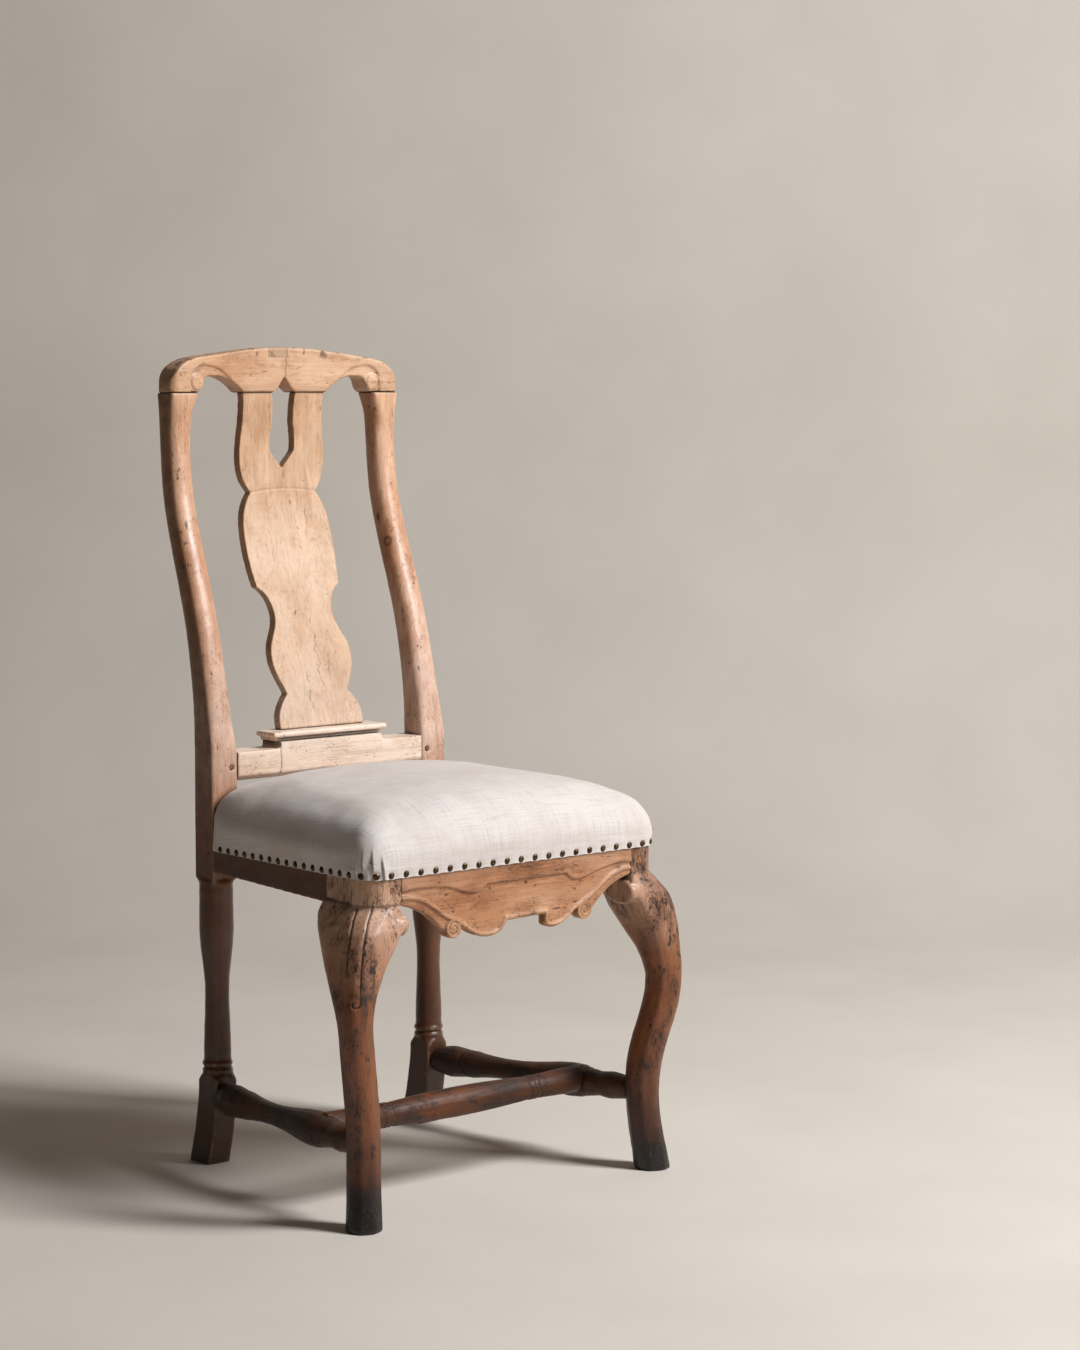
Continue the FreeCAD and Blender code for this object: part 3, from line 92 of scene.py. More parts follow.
class Surface:
    """Material in the making: its methods add nodes and give their outputs, and done gives the material."""

    def __init__(self, name):
        """Starts with a shader on the output and the place in the frame."""
        self.material = bpy.data.materials.new(name)
        self.material.use_nodes = True
        self.place = self.node("TexCoord").outputs["Object"]

    def node(self, kind, inputs=None, **settings):
        """A node of a kind with its settings and inputs, itself."""
        made = self.material.node_tree.nodes.new("ShaderNode" + kind)
        for name, value in settings.items():
            setattr(made, name, value)
        self.fill(made, inputs or {})
        return made

    def fill(self, made, inputs):
        """Gives each input of a node a value or another node's output."""
        for name, value in inputs.items():
            if isinstance(value, bpy.types.NodeSocket):
                self.material.node_tree.links.new(value, made.inputs[name])
            else:
                made.inputs[name].default_value = value

    def grains(self, across_mm, along_mm, axis, detail, rough=0.5, distortion=0.0, place=None):
        """Noise whose grains are so many mm wide, and so many long along an axis."""
        scale = [1 / (across_mm * MM)] * 3
        scale["XYZ".index(axis)] = 1 / (along_mm * MM)
        place = self.place if place is None else place
        along = self.node("Mapping", {"Vector": place, "Scale": scale}).outputs["Vector"]
        return self.node("TexNoise", {"Vector": along, "Scale": 1.0, "Detail": detail, "Roughness": rough,
                                      "Distortion": distortion}).outputs["Fac"]

    def mark(self):
        """How far a place is marked, from the attribute of that name."""
        return self.node("Attribute", attribute_name="mark").outputs["Fac"]

    def stepped(self, value, *stops):
        """Value bent by stops of (value, result), each result a grey or a colour."""
        ramp = self.node("ValToRGB", {"Fac": value})
        elements = ramp.color_ramp.elements
        while len(elements) < len(stops):
            elements.new(0.5)
        for element, (place, result) in zip(elements, stops):
            element.position = place
            element.color = linear(result) if isinstance(result, str) else [result] * 3 + [1.0]
        return ramp.outputs["Color"]

    def mixed(self, under, over, amount, blend="MIX"):
        """Colour over another by an amount; each is an output, or over the hex of a colour."""
        over = linear(over) if isinstance(over, str) else over
        return self.node("Mix", {0: amount, 6: under, 7: over}, data_type="RGBA", blend_type=blend).outputs[2]

    def sum_of(self, value, factor, other=0.0, operation="MULTIPLY_ADD"):
        """Value times factor plus other, or another operation on the three."""
        return self.node("Math", {0: value, 1: factor, 2: other}, operation=operation).outputs[0]

    def spread(self, value, low, high, from_low=0.0, from_high=1.0):
        """Value moved from one range to another."""
        return self.node("MapRange", {"Value": value, "From Min": from_low, "From Max": from_high,
                                      "To Min": low, "To Max": high}).outputs["Result"]

    def done(self, inputs, relief=None, strength=0.35, depth_mm=0.5):
        """The material: its shader gets inputs and, if there is one, a relief so many mm deep."""
        if relief is not None:
            bump = self.node("Bump", {"Strength": strength, "Distance": depth_mm * MM, "Height": relief})
            inputs["Normal"] = bump.outputs["Normal"]
        self.fill(self.material.node_tree.nodes["Principled BSDF"], inputs)
        return self.material


def old_wood(name, axis, heights, shades, roughness, chips, cracks, scuffs, clouds=0.6, grain=0.55, wax=0.0):
    """Old birch, scraped and waxed: fibres along one axis, pores, cracks, scuffs, chips, grime and painted
    shade.

    heights is a list of (height in mm, colour) and shades are the tones of its blotches, pores and so on.
    chips, cracks, scuffs, clouds, grain and wax say how much there is of each, from 0 for none.
    """
    wood = Surface(name)
    mixed, stepped, sum_of = wood.mixed, wood.stepped, wood.sum_of
    fibre = wood.grains(4.0, 130.0, axis, 6.0, 0.62, 0.4)
    pore = wood.grains(1.2, 22.0, axis, 3.0, 0.7)
    crack = wood.grains(16.0, 260.0, axis, 7.0, 0.62)
    cloud = wood.grains(100.0, 170.0, axis, 2.0)
    blotch = wood.grains(32.0, 60.0, axis, 5.0, 0.62)
    rubbed = wood.grains(12.0, 46.0, axis, 5.0, 0.66)
    flecks = wood.grains(6.5, 14.0, axis, 6.0, 0.76)
    pits = wood.grains(2.6, 4.6, axis, 3.0, 0.7)

    # Tone by height, then darker clouds, blotches, fibres and pores, and pale scuffs, partly painted sheen
    low, high = heights[0][0], heights[-1][0]
    up = wood.node("SeparateXYZ", {"Vector": wood.place}).outputs["Z"]
    level = wood.spread(sum_of(blotch, TONE_SHIFT, up), 0.0, 1.0, low * MM + TONE_SHIFT / 2,
                        high * MM + TONE_SHIFT / 2)
    colour = stepped(level, *[((z - low) / (high - low), tone) for z, tone in heights])
    colour = mixed(colour, shades["blotch"], stepped(cloud, (0.40, 0.0), (0.66, clouds)), "MULTIPLY")
    colour = mixed(colour, shades["blotch"], stepped(blotch, (0.46, 0.0), (0.68, clouds)), "MULTIPLY")
    colour = mixed(colour, stepped(fibre, (0.30, 0.6), (0.50, 0.95), (0.70, 1.0)), grain, "MULTIPLY")
    colour = mixed(colour, shades["pore"], stepped(pore, (0.54, 0.0), (0.74, grain)), "MULTIPLY")
    # On the posts these pale scuffs are partly painted sheen
    colour = mixed(colour, shades["scuff_and_sheen"], stepped(rubbed, (0.50, 0.0), (0.72, scuffs)), "SOFT_LIGHT")

    # Cracks along the fibres, broken off here and there
    line = stepped(crack, (0.490, 0.0), (0.5, cracks), (0.510, 0.0))
    line = sum_of(line, stepped(blotch, (0.42, 0.0), (0.56, 1.0)))

    # Chips and pits, thick in some places and thin in others, and the marks that a piece has of its own,
    # among them painted shade on the sides of the posts and the splat; full marks are paint, rubbed bare in
    # spots
    thick = stepped(blotch, (0.38, 0.02 * chips), (0.60, 0.08 * chips))
    chip = stepped(sum_of(flecks, 1.0, thick), (0.675, 0.0), (0.705, 0.9))
    pit = stepped(sum_of(pits, 1.0, thick), (0.705, 0.0), (0.73, 0.85))
    own = wood.mark()
    hollow = sum_of(sum_of(chip, pit, 0.0, "MAXIMUM"), sum_of(own, line, 0.0, "MAXIMUM"), 0.0, "MAXIMUM")

    # Edges rubbed pale or gone dark, dirt in the hollows, and dirt with painted shade where two pieces meet
    bend = wood.node("NewGeometry").outputs["Pointiness"]
    rim = mixed(linear(shades["edge"]), shades["chip"], stepped(rubbed, (0.44, 0.6), (0.54, 0.0)))
    colour = mixed(colour, rim, stepped(bend, (0.515, 0.0), (0.58, 0.7)))
    colour = mixed(colour, shades["chip"], stepped(bend, (0.40, 0.95), (0.488, 0.0)))
    # Painted shade, with some dirt: ambient occlusion darkens the wood where pieces meet and in tight corners
    ambient_shade = wood.node("AmbientOcclusion", {"Distance": 12 * MM}, samples=4).outputs["AO"]
    dirt_and_shade = sum_of(ambient_shade, sum_of(flecks, 0.7, 0.65))
    colour = mixed(colour, shades["chip"], stepped(dirt_and_shade, (0.30, 0.9), (0.70, 0.0)))
    colour = mixed(colour, shades["chip"], hollow)
    bare = sum_of(stepped(own, (0.86, 0.0), (0.94, 1.0)), stepped(pits, (0.58, 0.0), (0.63, 0.5)))
    colour = mixed(colour, shades["bare"], bare)

    gloss = wood.spread(rubbed, roughness - 0.08, roughness + 0.14, 0.3, 0.7)
    return wood.done({"Base Color": colour, "Roughness": gloss, "Coat Weight": wax, "Coat Roughness": 0.32},
                     sum_of(hollow, -1.3, sum_of(pore, -0.5, fibre)))


def plain_weave(name, pale, dark, stain, fold_dust_and_shade, thread_mm, slub):
    """Cloth in plain weave: threads both ways on the cloth's own UV map, in metres, with slubs and stains.

    fold_dust_and_shade is the tone of the dust and painted shade in folds, where the cloth is marked.
    """
    cloth = Surface(name)
    flat = cloth.node("UVMap").outputs["UV"]
    threads, streaks = [], []
    for way, along in (("X", "Y"), ("Y", "X")):
        bands = {"Vector": flat, "Scale": math.pi / 10 / (thread_mm * MM), "Distortion": 0.9, "Detail": 2.0,
                 "Detail Scale": 0.6}
        threads.append(cloth.node("TexWave", bands, wave_type="BANDS", bands_direction=way).outputs["Fac"])
        streaks.append(cloth.grains(2.2, 60.0, along, 3.0, 0.65, place=flat))
    weave = cloth.sum_of(threads[0], threads[1])
    slubs = cloth.sum_of(streaks[0], 1.0, streaks[1])
    colour = cloth.stepped(cloth.spread(slubs, 0.0, 1.0, 0.75, 1.25), (0.0, dark), (0.5, pale), (1.0, pale))
    worn = cloth.grains(70.0, 70.0, "X", 4.0, 0.6)
    colour = cloth.mixed(colour, stain, cloth.stepped(worn, (0.46, 0.0), (0.75, 0.75)))
    colour = cloth.mixed(colour, cloth.spread(weave, 0.80, 1.04), 1.0, "MULTIPLY")
    # Painted shade, partly dust: the cloth darkens in its folds, where it is marked
    colour = cloth.mixed(colour, fold_dust_and_shade, cloth.mark())
    return cloth.done({"Base Color": colour, "Roughness": 0.85, "Sheen Weight": 0.12},
                      cloth.sum_of(slubs, slub, weave), depth_mm=0.35)


def tarnished_brass(name):
    """Brass nail heads gone dark brown, rubbed bright in spots: a metal with a patchy skin."""
    metal = Surface(name)
    patch = metal.grains(3.0, 3.0, "X", 4.0)
    colour = metal.stepped(patch, (0.35, "#2A1F16"), (0.55, "#5A452E"), (0.75, "#8A6C45"))
    return metal.done({"Base Color": colour, "Roughness": metal.spread(patch, 0.30, 0.55), "Metallic": 0.85})


def curled_hair(name):
    """Curled horsehair packed under the linen: dark tangled strands."""
    strands = Surface(name)
    tangle = strands.grains(4.0, 4.0, "X", 6.0, distortion=3.0)
    colour = strands.stepped(tangle, (0.35, "#1B1410"), (0.65, "#4A392B"))
    return strands.done({"Base Color": colour, "Roughness": 0.8}, tangle, 0.6, 1.0)


def new_piece(name, mesh, material):
    """Object for a finished mesh, shaded smooth, riding on the chair."""
    piece = bpy.data.objects.new(name, mesh)
    bpy.context.scene.collection.objects.link(piece)
    mesh.materials.clear()
    mesh.materials.append(material)
    mesh.polygons.foreach_set("use_smooth", [True] * len(mesh.polygons))
    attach(piece, "root")
    return piece


def merged_copy(node_name):
    """Mesh copy of a CAD node with its loose triangles joined."""
    mesh = nodes[node_name].data.copy()
    work = bmesh.new()
    work.from_mesh(mesh)
    bmesh.ops.remove_doubles(work, verts=work.verts, dist=0.002 * MM)
    work.to_mesh(mesh)
    work.free()
    return mesh


def settled(mesh, modifiers, share=()):
    """Mesh after modifiers, each a type with its settings; share says how far they act at each vertex."""
    holder = bpy.data.objects.new("holder", mesh)
    bpy.context.scene.collection.objects.link(holder)
    for kind, settings in modifiers:
        modifier = holder.modifiers.new(kind, kind)
        for name, value in settings.items():
            setattr(modifier, name, value)
        if len(share):
            group = holder.vertex_groups.new(name="share")
            for index, amount in enumerate(share):
                if amount > 0.01:
                    group.add([index], float(amount), "REPLACE")
            modifier.vertex_group = group.name
    graph = bpy.context.evaluated_depsgraph_get()
    result = bpy.data.meshes.new_from_object(holder.evaluated_get(graph))
    bpy.data.objects.remove(holder)
    return result


def points_of(mesh):
    """Vertex places of a mesh as rows of X, Y, Z in metres, and their normals."""
    places = np.zeros(len(mesh.vertices) * 3)
    mesh.vertices.foreach_get("co", places)
    normals = np.zeros(len(mesh.vertices) * 3)
    mesh.vertex_normals.foreach_get("vector", normals)
    return places.reshape(-1, 3), normals.reshape(-1, 3)


def move_points(mesh, places):
    """Sets the vertex places of a mesh."""
    mesh.vertices.foreach_set("co", places.ravel())
    mesh.update()


def eased(value, low, high):
    """0 below low, 1 above high and smooth between; low may be the larger."""
    share = np.clip((value - low) / (high - low), 0.0, 1.0)
    return share * share * (3 - 2 * share)


def relaxed(mesh, passes, share):
    """Mesh smoothed by a number of passes, at each vertex by a share of the full amount."""
    return settled(mesh, [("SMOOTH", {"factor": 0.5, "iterations": passes})], share)


def drawn_places(mesh):
    """Vertex places of a mesh in mm, with Y counted from the front feet, and their normals."""
    places, normals = points_of(mesh)
    return places / MM - FEET, normals


def to_frame(drawn):
    """Places in mm counted from the front feet, back in the frame's metres."""
    return (drawn + FEET) * MM


def drawn_box(node_name):
    """Box of a CAD node in mm, with Y counted from the front feet: its low and its high corner."""
    return [np.array(p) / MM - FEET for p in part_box(node_name)]


def dented(places, wide, small, share):
    """Uneven noise at places in mm: dents so many mm wide, and a share of smaller ones."""
    return np.array([noise.noise(Vector(p) / wide) + share * noise.noise(Vector(p) / small) for p in places])


def hand_made(node_name, voxel, passes, share, carve, material, marks=None, dents=0.2):
    """Worn copy of a wooden node: even mesh, softened where share says, then carved, marked and dented."""
    mesh = settled(merged_copy(node_name), [("REMESH", {"mode": "VOXEL", "voxel_size": voxel * MM})])
    drawn = drawn_places(mesh)[0]
    mesh = relaxed(mesh, STEP_PASSES, np.ones(len(drawn)))
    if passes:
        soft = share(drawn)
        mesh = relaxed(mesh, passes, soft)
        drawn, normals = drawn_places(mesh)
        move_points(mesh, to_frame(drawn + normals * (soft * SOFTENED_LOSS)[:, None]))
    drawn, normals = drawn_places(mesh)
    if carve:
        drawn += carve(drawn, normals)
    knocks = dented(to_frame(drawn) / MM, 14.0, 5.0, 0.5)
    drawn += normals * (knocks * dents)[:, None]
    if marks:
        dark = np.clip(marks(drawn, normals, knocks), 0.0, 1.0)
        drawn -= normals * (dark * MARK_DEPTH)[:, None]
        mesh.attributes.new("mark", "FLOAT", "POINT").data.foreach_set("value", dark)
    drawn[:, 2] = np.maximum(drawn[:, 2], 0.0)
    move_points(mesh, to_frame(drawn))
    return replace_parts(new_piece(node_name + "_wood", mesh, material), node_name)


def carve_crest(drawn, normals):
    """Line round each of the crest's buttons, and a second one that bends round its outer side."""
    moves = np.zeros_like(drawn)
    across, up = np.abs(drawn[:, 0]) - CREST_BUTTON[0], drawn[:, 2] - CREST_BUTTON[1]
    out = np.hypot(across, up)
    ring = np.exp(-((out - CREST_BUTTON_RADIUS) / 0.9) ** 2)
    bow = np.exp(-((out - CREST_BUTTON_RADIUS - 5.0) / 0.8) ** 2) * eased(across + 0.5 * up, 0.0, 6.0)
    moves[:, 1] = (1.2 * ring + 0.8 * bow) * eased(-normals[:, 1], 0.4, 0.8)
    return moves


def carve_apron(drawn, normals):
    """Spiral line on each of the apron's two hanging scrolls."""
    moves = np.zeros_like(drawn)
    for side in (1, -1):
        across, up = drawn[:, 0] - side * APRON_VOLUTE[0], drawn[:, 2] - APRON_VOLUTE[1]
        out = np.hypot(across, up)
        line = 0.5 + 0.5 * np.cos(2 * math.pi * out / SPIRAL_PITCH - side * np.arctan2(up, across))
        moves[:, 1] += np.where(out < APRON_VOLUTE_RADIUS - 1.0, 1.6 * line ** 3 * eased(out, 1.5, 3.0), 0.0)
    return moves * eased(-normals[:, 1], 0.4, 0.8)[:, None]


def carve_splat(drawn, normals):
    """Scribed line that bows up across the neck of the splat."""
    moves = np.zeros_like(drawn)
    line_z = NECK_LINE_Z + 5.0 * (1 - (drawn[:, 0] / 55.0) ** 2)
    groove = np.exp(-((drawn[:, 2] - line_z) / 0.9) ** 2)
    moves[:, 1] = 0.9 * groove * eased(-normals[:, 1], 0.4, 0.8)
    return moves


def knee_lines(drawn):
    """Share of the two lines cut down the knee, the front one ending in a small hook."""
    z = drawn[:, 2]
    across = ((np.abs(drawn[:, 0]) - KNEE_CORNER[0]) + (drawn[:, 1] - KNEE_CORNER[1])) / math.sqrt(2)
    across -= np.interp(z, *KNEE_LEAN)
    cut = np.zeros(len(drawn))
    for offset, end_z in KNEE_GROOVES:
        line = np.exp(-((across - offset) / 1.1) ** 2)
        cut = np.maximum(cut, line * eased(z, end_z, end_z + 12.0))
    hook = np.exp(-((np.hypot(across - 5.0, z - KNEE_TIP_Z - 4.0) - 5.0) / 1.1) ** 2)
    cut = np.maximum(cut, hook * (z < KNEE_TIP_Z + 6.0))
    return cut * eased(z, KNEE_TOP_Z + 1.0, KNEE_TOP_Z - 4.0)


def knee_side(drawn, normals):
    """Share by which a place faces the outer front corner of the leg."""
    return eased((normals[:, 0] * np.sign(drawn[:, 0]) - normals[:, 1]) / math.sqrt(2), 0.2, 0.5)


def carve_knee(drawn, normals):
    """Cuts the lines into the knee."""
    return -normals * (1.9 * knee_lines(drawn) * knee_side(drawn, normals))[:, None]


def post_share(drawn):
    """Soften the curved post and the turned shaft, and keep the joints, the block and the rings crisp."""
    z = drawn[:, 2]
    upper = 0.5 * (eased(z, 480.0, 510.0) + eased(z, 566.0, 600.0)) * eased(z, 1033.0, 1018.0)
    shaft = eased(z, 148.0, 156.0) * eased(z, 380.0, 370.0)
    return np.maximum(upper, shaft)


def leg_share(drawn):
    """Soften the whole cabriole and keep the block under the seat and the ear crisp."""
    across, z = np.abs(drawn[:, 0]), drawn[:, 2]
    ear = eased(across, EAR_OUTER_X + 6.0, EAR_OUTER_X) * eased(z, EAR_BOTTOM_Z, EAR_BOTTOM_Z + 8.0)
    return eased(z, KNEE_TOP_Z + 1.0, KNEE_TOP_Z - 9.0) * (1 - 0.85 * ear)


def side_stretcher_share(drawn):
    """Soften the swellings and keep the cut rings crisp."""
    return np.min([eased(np.abs(drawn[:, 1] - y), 6.0, 10.0) for y in SIDE_RINGS_Y], axis=0)


def cross_stretcher_share(drawn):
    """Soften the turning and keep the cut rings crisp."""
    return eased(np.abs(np.abs(drawn[:, 0]) - CROSS_RINGS_X), 8.0, 12.0)


def split(drawn, x, z_low, z_high, sway, width):
    """Dark share of an upright crack in the front view, swaying about X, between two heights in mm."""
    line = x + sway * np.sin(drawn[:, 2] / 5.0) + 0.5 * sway * np.sin(drawn[:, 2] / 2.1)
    ends = eased(drawn[:, 2], z_low, z_low + 4.0) * eased(drawn[:, 2], z_high, z_high - 4.0)
    return np.exp(-((drawn[:, 0] - line) / width) ** 2) * ends


def knot(drawn, x, z, radii):
    """Distance, in radii across and up, from the frontmost point of a piece near an X and a height in mm."""
    near = np.abs(drawn[:, 0] - x) + np.abs(drawn[:, 2] - z) + 0.05 * drawn[:, 1]
    gap = drawn - drawn[np.argmin(near)]
    return np.hypot(np.hypot(gap[:, 0], gap[:, 1]) / radii[0], gap[:, 2] / radii[1])


def joint_line(drawn, z):
    """Dark gap of a joint at a height in mm."""
    return 0.85 * np.exp(-((drawn[:, 2] - z) / 1.1) ** 2)


def crest_marks(drawn, normals, rough):
    """Repair let into the crest's top, the crack from it to the keyhole, nicks and a blackened left end."""
    x, z = drawn[:, 0], drawn[:, 2]
    inside = np.minimum(np.minimum(x + 27.0, 5.0 - x), z - 1083.0)
    patch = 0.3 * eased(inside, -0.4, 0.6) + 0.45 * np.exp(-(inside / 0.9) ** 2)
    crack = 0.8 * split(drawn, 2.0, 1054.0, 1085.0, 0.8, 0.8)
    sooty = 0.75 * eased(rough - 0.01 * (z - 1078.0), 0.0, 0.4) * eased(x, -120.0, -165.0)
    sooty *= eased(z, 1052.0, 1070.0)
    nicks = 0.7 * eased(rough, 0.32, 0.5) * eased(z, 1078.0, 1086.0)
    return np.max([patch, crack, sooty, nicks, joint_line(drawn, CREST_JOINT_Z)], axis=0)


def post_marks_and_shade(drawn, normals, rough):
    """A knot on the left post's front, a ringed one on the right's inner edge, outer sides in painted shade
    and old varnish.
    """
    left = 0.85 * eased(knot(drawn, -183.0, 860.0, (3.2, 7.5)) + 0.4 * rough, 1.2, 0.6)
    right = 0.8 * np.exp(-((knot(drawn, 157.0, 826.0, (6.0, 6.5)) - 0.8) / 0.3) ** 2)
    # Painted shade, partly old varnish: the outer sides of the posts are darkened
    sides = (0.5 + 0.2 * rough) * eased(np.sign(drawn[:, 0]) * normals[:, 0], 0.72, 0.95)
    return np.max([left, right, sides, joint_line(drawn, CREST_JOINT_Z)], axis=0)


def splat_marks_and_shade(drawn, normals, rough):
    """Drying cracks in the splat, one of them under the keyhole, and sawn edges darkened by grime and painted
    shade.
    """
    cracks = [(0.5, 915.0, 933.0, 0.8), (9.0, 632.0, 736.0, 2.2), (-13.0, 603.0, 655.0, 1.6),
              (26.0, 645.0, 690.0, 1.4), (-30.0, 800.0, 846.0, 1.0), (34.0, 846.0, 880.0, 1.0)]
    broken = 0.7 * eased(rough, -0.5, 0.1)
    lines = [broken * split(drawn, x, low, high, sway, 0.7) for x, low, high, sway in cracks]
    # Painted shade, partly grime: the splat's sawn edges, facing sideways, are darkened
    sides = (0.3 + 0.2 * rough) * eased(np.abs(normals[:, 1]), 0.8, 0.45)
    return np.max(lines + [sides, joint_line(drawn, CREST_JOINT_Z)], axis=0)


def lower_rail_marks(drawn, normals, rough):
    """Upright crack at the left end of the plinth, and nicks along the lower edge."""
    crack = 0.9 * split(drawn, -86.0, 520.0, 568.0, 0.7, 0.8)
    return np.maximum(crack, 0.7 * eased(rough, 0.25, 0.45) * eased(drawn[:, 2], 524.0, 518.0))


def leg_marks(drawn, normals, rough):
    """Ragged black hoofs, a dark stain on the left shin, and dirt over the knee and in its lines."""
    x, z = drawn[:, 0], drawn[:, 2]
    top = np.where(x < 0, HOOF_TOPS[0], HOOF_TOPS[1]) + 9.0 * rough
    hoof = np.maximum(0.95 * eased(z, top + 1.5, top - 1.5), 0.5 * eased(z, top + 24.0, top))
    stain = 0.75 * eased(rough, -0.25, 0.35) * np.exp(-((z - 296.0) / 11.0) ** 2) * (x < 0)
    neck = eased(rough, -0.6, 0.1) * joint_line(drawn, KNEE_TOP_Z + 1.0)
    lines = 0.8 * knee_lines(drawn) * knee_side(drawn, normals)
    return np.max([hoof, stain, neck, lines], axis=0)


def everywhere(drawn):
    """Soften every edge."""
    return np.ones(len(drawn))


# Tones of the old surfaces: honey is scraped wood, amber keeps its varnish, umber is black with handling.
# Blotches and pores are laid over the tone as a stain, scuffs as a light, and the rest covers it.
honey = {"blotch": "#D9BD9F", "pore": "#B99A7E", "chip": "#38240F", "edge": "#E2BE98", "scuff_and_sheen": "#F4E4DC",
         "bare": "#6B4A30"}
amber = {"blotch": "#B9A498", "pore": "#94806F", "chip": "#150D08", "edge": "#B07646", "scuff_and_sheen": "#EBD5C2",
         "bare": "#56504A"}
umber = {"blotch": "#8E8B8C", "pore": "#85807C", "chip": "#0D0705", "edge": "#754A33", "scuff_and_sheen": "#F0D3BE",
         "bare": "#3A2417"}

back_tones = [(500.0, "#E8D2C2"), (600.0, "#E0C5AF"), (700.0, "#DDBC9E"), (1000.0, "#D6B192"),
              (1060.0, "#DDB595"), (1100.0, "#D3A886")]
low_tones = [(500.0, "#F8E6D8"), (600.0, "#F6E2D0")]
# The pale pinkish tone of the posts at 560 mm is partly painted sheen
post_tones = [(0.0, "#3E200B"), (120.0, "#502B11"), (380.0, "#693C1C"), (440.0, "#9A663E"),
              (560.0, "#E2C3B2"), (800.0, "#D9AC8F"), (1040.0, "#E0B597")]
leg_tones = [(0.0, "#52301B"), (75.0, "#6C3F23"), (150.0, "#87502B"), (290.0, "#965C36"), (400.0, "#DDB498"),
             (460.0, "#BE9272")]
stretcher_tones = [(60.0, "#43280F"), (130.0, "#5A381E")]
# The cross stretcher's tones are darker partly as painted shade from the seat above it
cross_tones_and_seat_shade = [(60.0, "#502B0C"), (130.0, "#7A421A")]
rail_tones = [(390.0, "#4E2F1A"), (460.0, "#6E462A")]
apron_tones = [(340.0, "#D7AA88"), (408.0, "#CEA07F"), (424.0, "#C59878"), (460.0, "#B0856A")]
peg_tones = [(0.0, "#6E4526"), (1100.0, "#8C5E3A")]

splat_birch = old_wood("scraped_birch_upright", "Z", back_tones, honey, 0.50, chips=0.5, cracks=0.3,
                       scuffs=0.6, clouds=0.4, wax=0.1)
crest_birch = old_wood("scraped_birch_level", "X", back_tones, honey, 0.48, chips=0.8, cracks=0.4, scuffs=0.5,
                       clouds=0.6, wax=0.1)
low_birch = old_wood("rubbed_birch_level", "X", low_tones, honey, 0.50, chips=0.9, cracks=0.5, scuffs=0.4,
                     clouds=0.35, wax=0.1)
# The posts' strong pale scuffs are partly rubbing and partly painted sheen
post_birch = old_wood("waxed_birch_posts", "Z", post_tones, honey, 0.40, chips=1.0, cracks=0.4, scuffs=0.9,
                      wax=0.4)
leg_birch = old_wood("worn_birch_legs", "Z", leg_tones, amber, 0.42, chips=1.8, cracks=1.0, scuffs=0.5,
                     clouds=1.0, grain=0.9, wax=0.15)
apron_birch = old_wood("carved_birch", "X", apron_tones, honey, 0.46, chips=1.2, cracks=0.7, scuffs=0.5,
                       clouds=0.8, grain=0.7, wax=0.1)
side_birch = old_wood("grimy_birch_side", "Y", stretcher_tones, umber, 0.52, chips=1.6, cracks=0.8,
                      scuffs=0.6, clouds=0.9, grain=0.8)
cross_birch = old_wood("scuffed_birch_cross", "X", cross_tones_and_seat_shade, umber, 0.50, chips=1.6, cracks=0.9,
                       scuffs=0.8, clouds=0.9, grain=1.0)
rail_pine = old_wood("old_pine_rails", "Y", rail_tones, amber, 0.5, chips=1.0, cracks=0.5, scuffs=0.4)
peg_birch = old_wood("end_grain_pegs", "Y", peg_tones, amber, 0.5, chips=1.0, cracks=0.2, scuffs=0.2)
# The linen's fold tone, #62564C, is painted shade with some dust
linen = plain_weave("washed_linen", "#EAE3DF", "#D3C9C3", "#DCD1CA", "#62564C", 1.8, 0.8)
jute = plain_weave("jute_hessian", "#A98A5C", "#7A5E3B", "#8D7048", "#4A3822", 2.4, 0.5)
jute_strap = plain_weave("jute_webbing", "#B1945F", "#84683F", "#997C4F", "#4A3822", 3.0, 0.5)
brass = tarnished_brass("tarnished_brass")
hair = curled_hair("curled_horsehair")

for side in ("left", "right"):
    hand_made("back_post_" + side, 2.0, 46, post_share, None, post_birch, post_marks_and_shade)
    hand_made("front_leg_" + side, 1.6, 24, leg_share, carve_knee, leg_birch, leg_marks)
    hand_made("side_stretcher_" + side, 1.5, 14, side_stretcher_share, None, side_birch)
    hand_made("side_seat_rail_" + side, 2.6, 0, None, None, rail_pine)
hand_made("cross_stretcher", 1.5, 14, cross_stretcher_share, None, cross_birch)
hand_made("rear_seat_rail", 2.6, 0, None, None, rail_pine)
hand_made("crest_rail", 1.4, 2, everywhere, carve_crest, crest_birch, crest_marks)
hand_made("splat", 1.4, 0, None, carve_splat, splat_birch, splat_marks_and_shade, 0.08)
hand_made("splat_shoe", 1.1, 0, None, None, low_birch)
hand_made("lower_back_rail", 1.6, 0, None, None, low_birch, lower_rail_marks, 0.12)
hand_made("front_seat_rail", 1.3, 2, everywhere, carve_apron, apron_birch)
for name in ("apron_pegs", "front_leg_pegs", "post_pegs", "lower_rail_pegs", "crest_pegs"):
    nodes[name].data.materials.clear()
    nodes[name].data.materials.append(peg_birch)

# Seat plan: the cover's front, its front corners and its side lines, which draw in towards the back
SEAT_CORNER_X = 246.5
SEAT_CORNER_RADIUS = 32.5
SEAT_FRONT = -15.5
SIDE_DRAW_IN = 45.0 / 394.5
COVER_EDGE_FRONT, COVER_EDGE_BACK = 438.0, 427.0
SKIRT_Z = 400.0
SEAT_DEPTH = 432.0
POST_FRONT = 380.5
LINEN_THICKNESS = 1.2
# Depth past which linen counts as lying inside a rail
BURIED_DEPTH = 0.6
TACK_RADIUS, TACK_HEIGHT = 4.7, 3.2
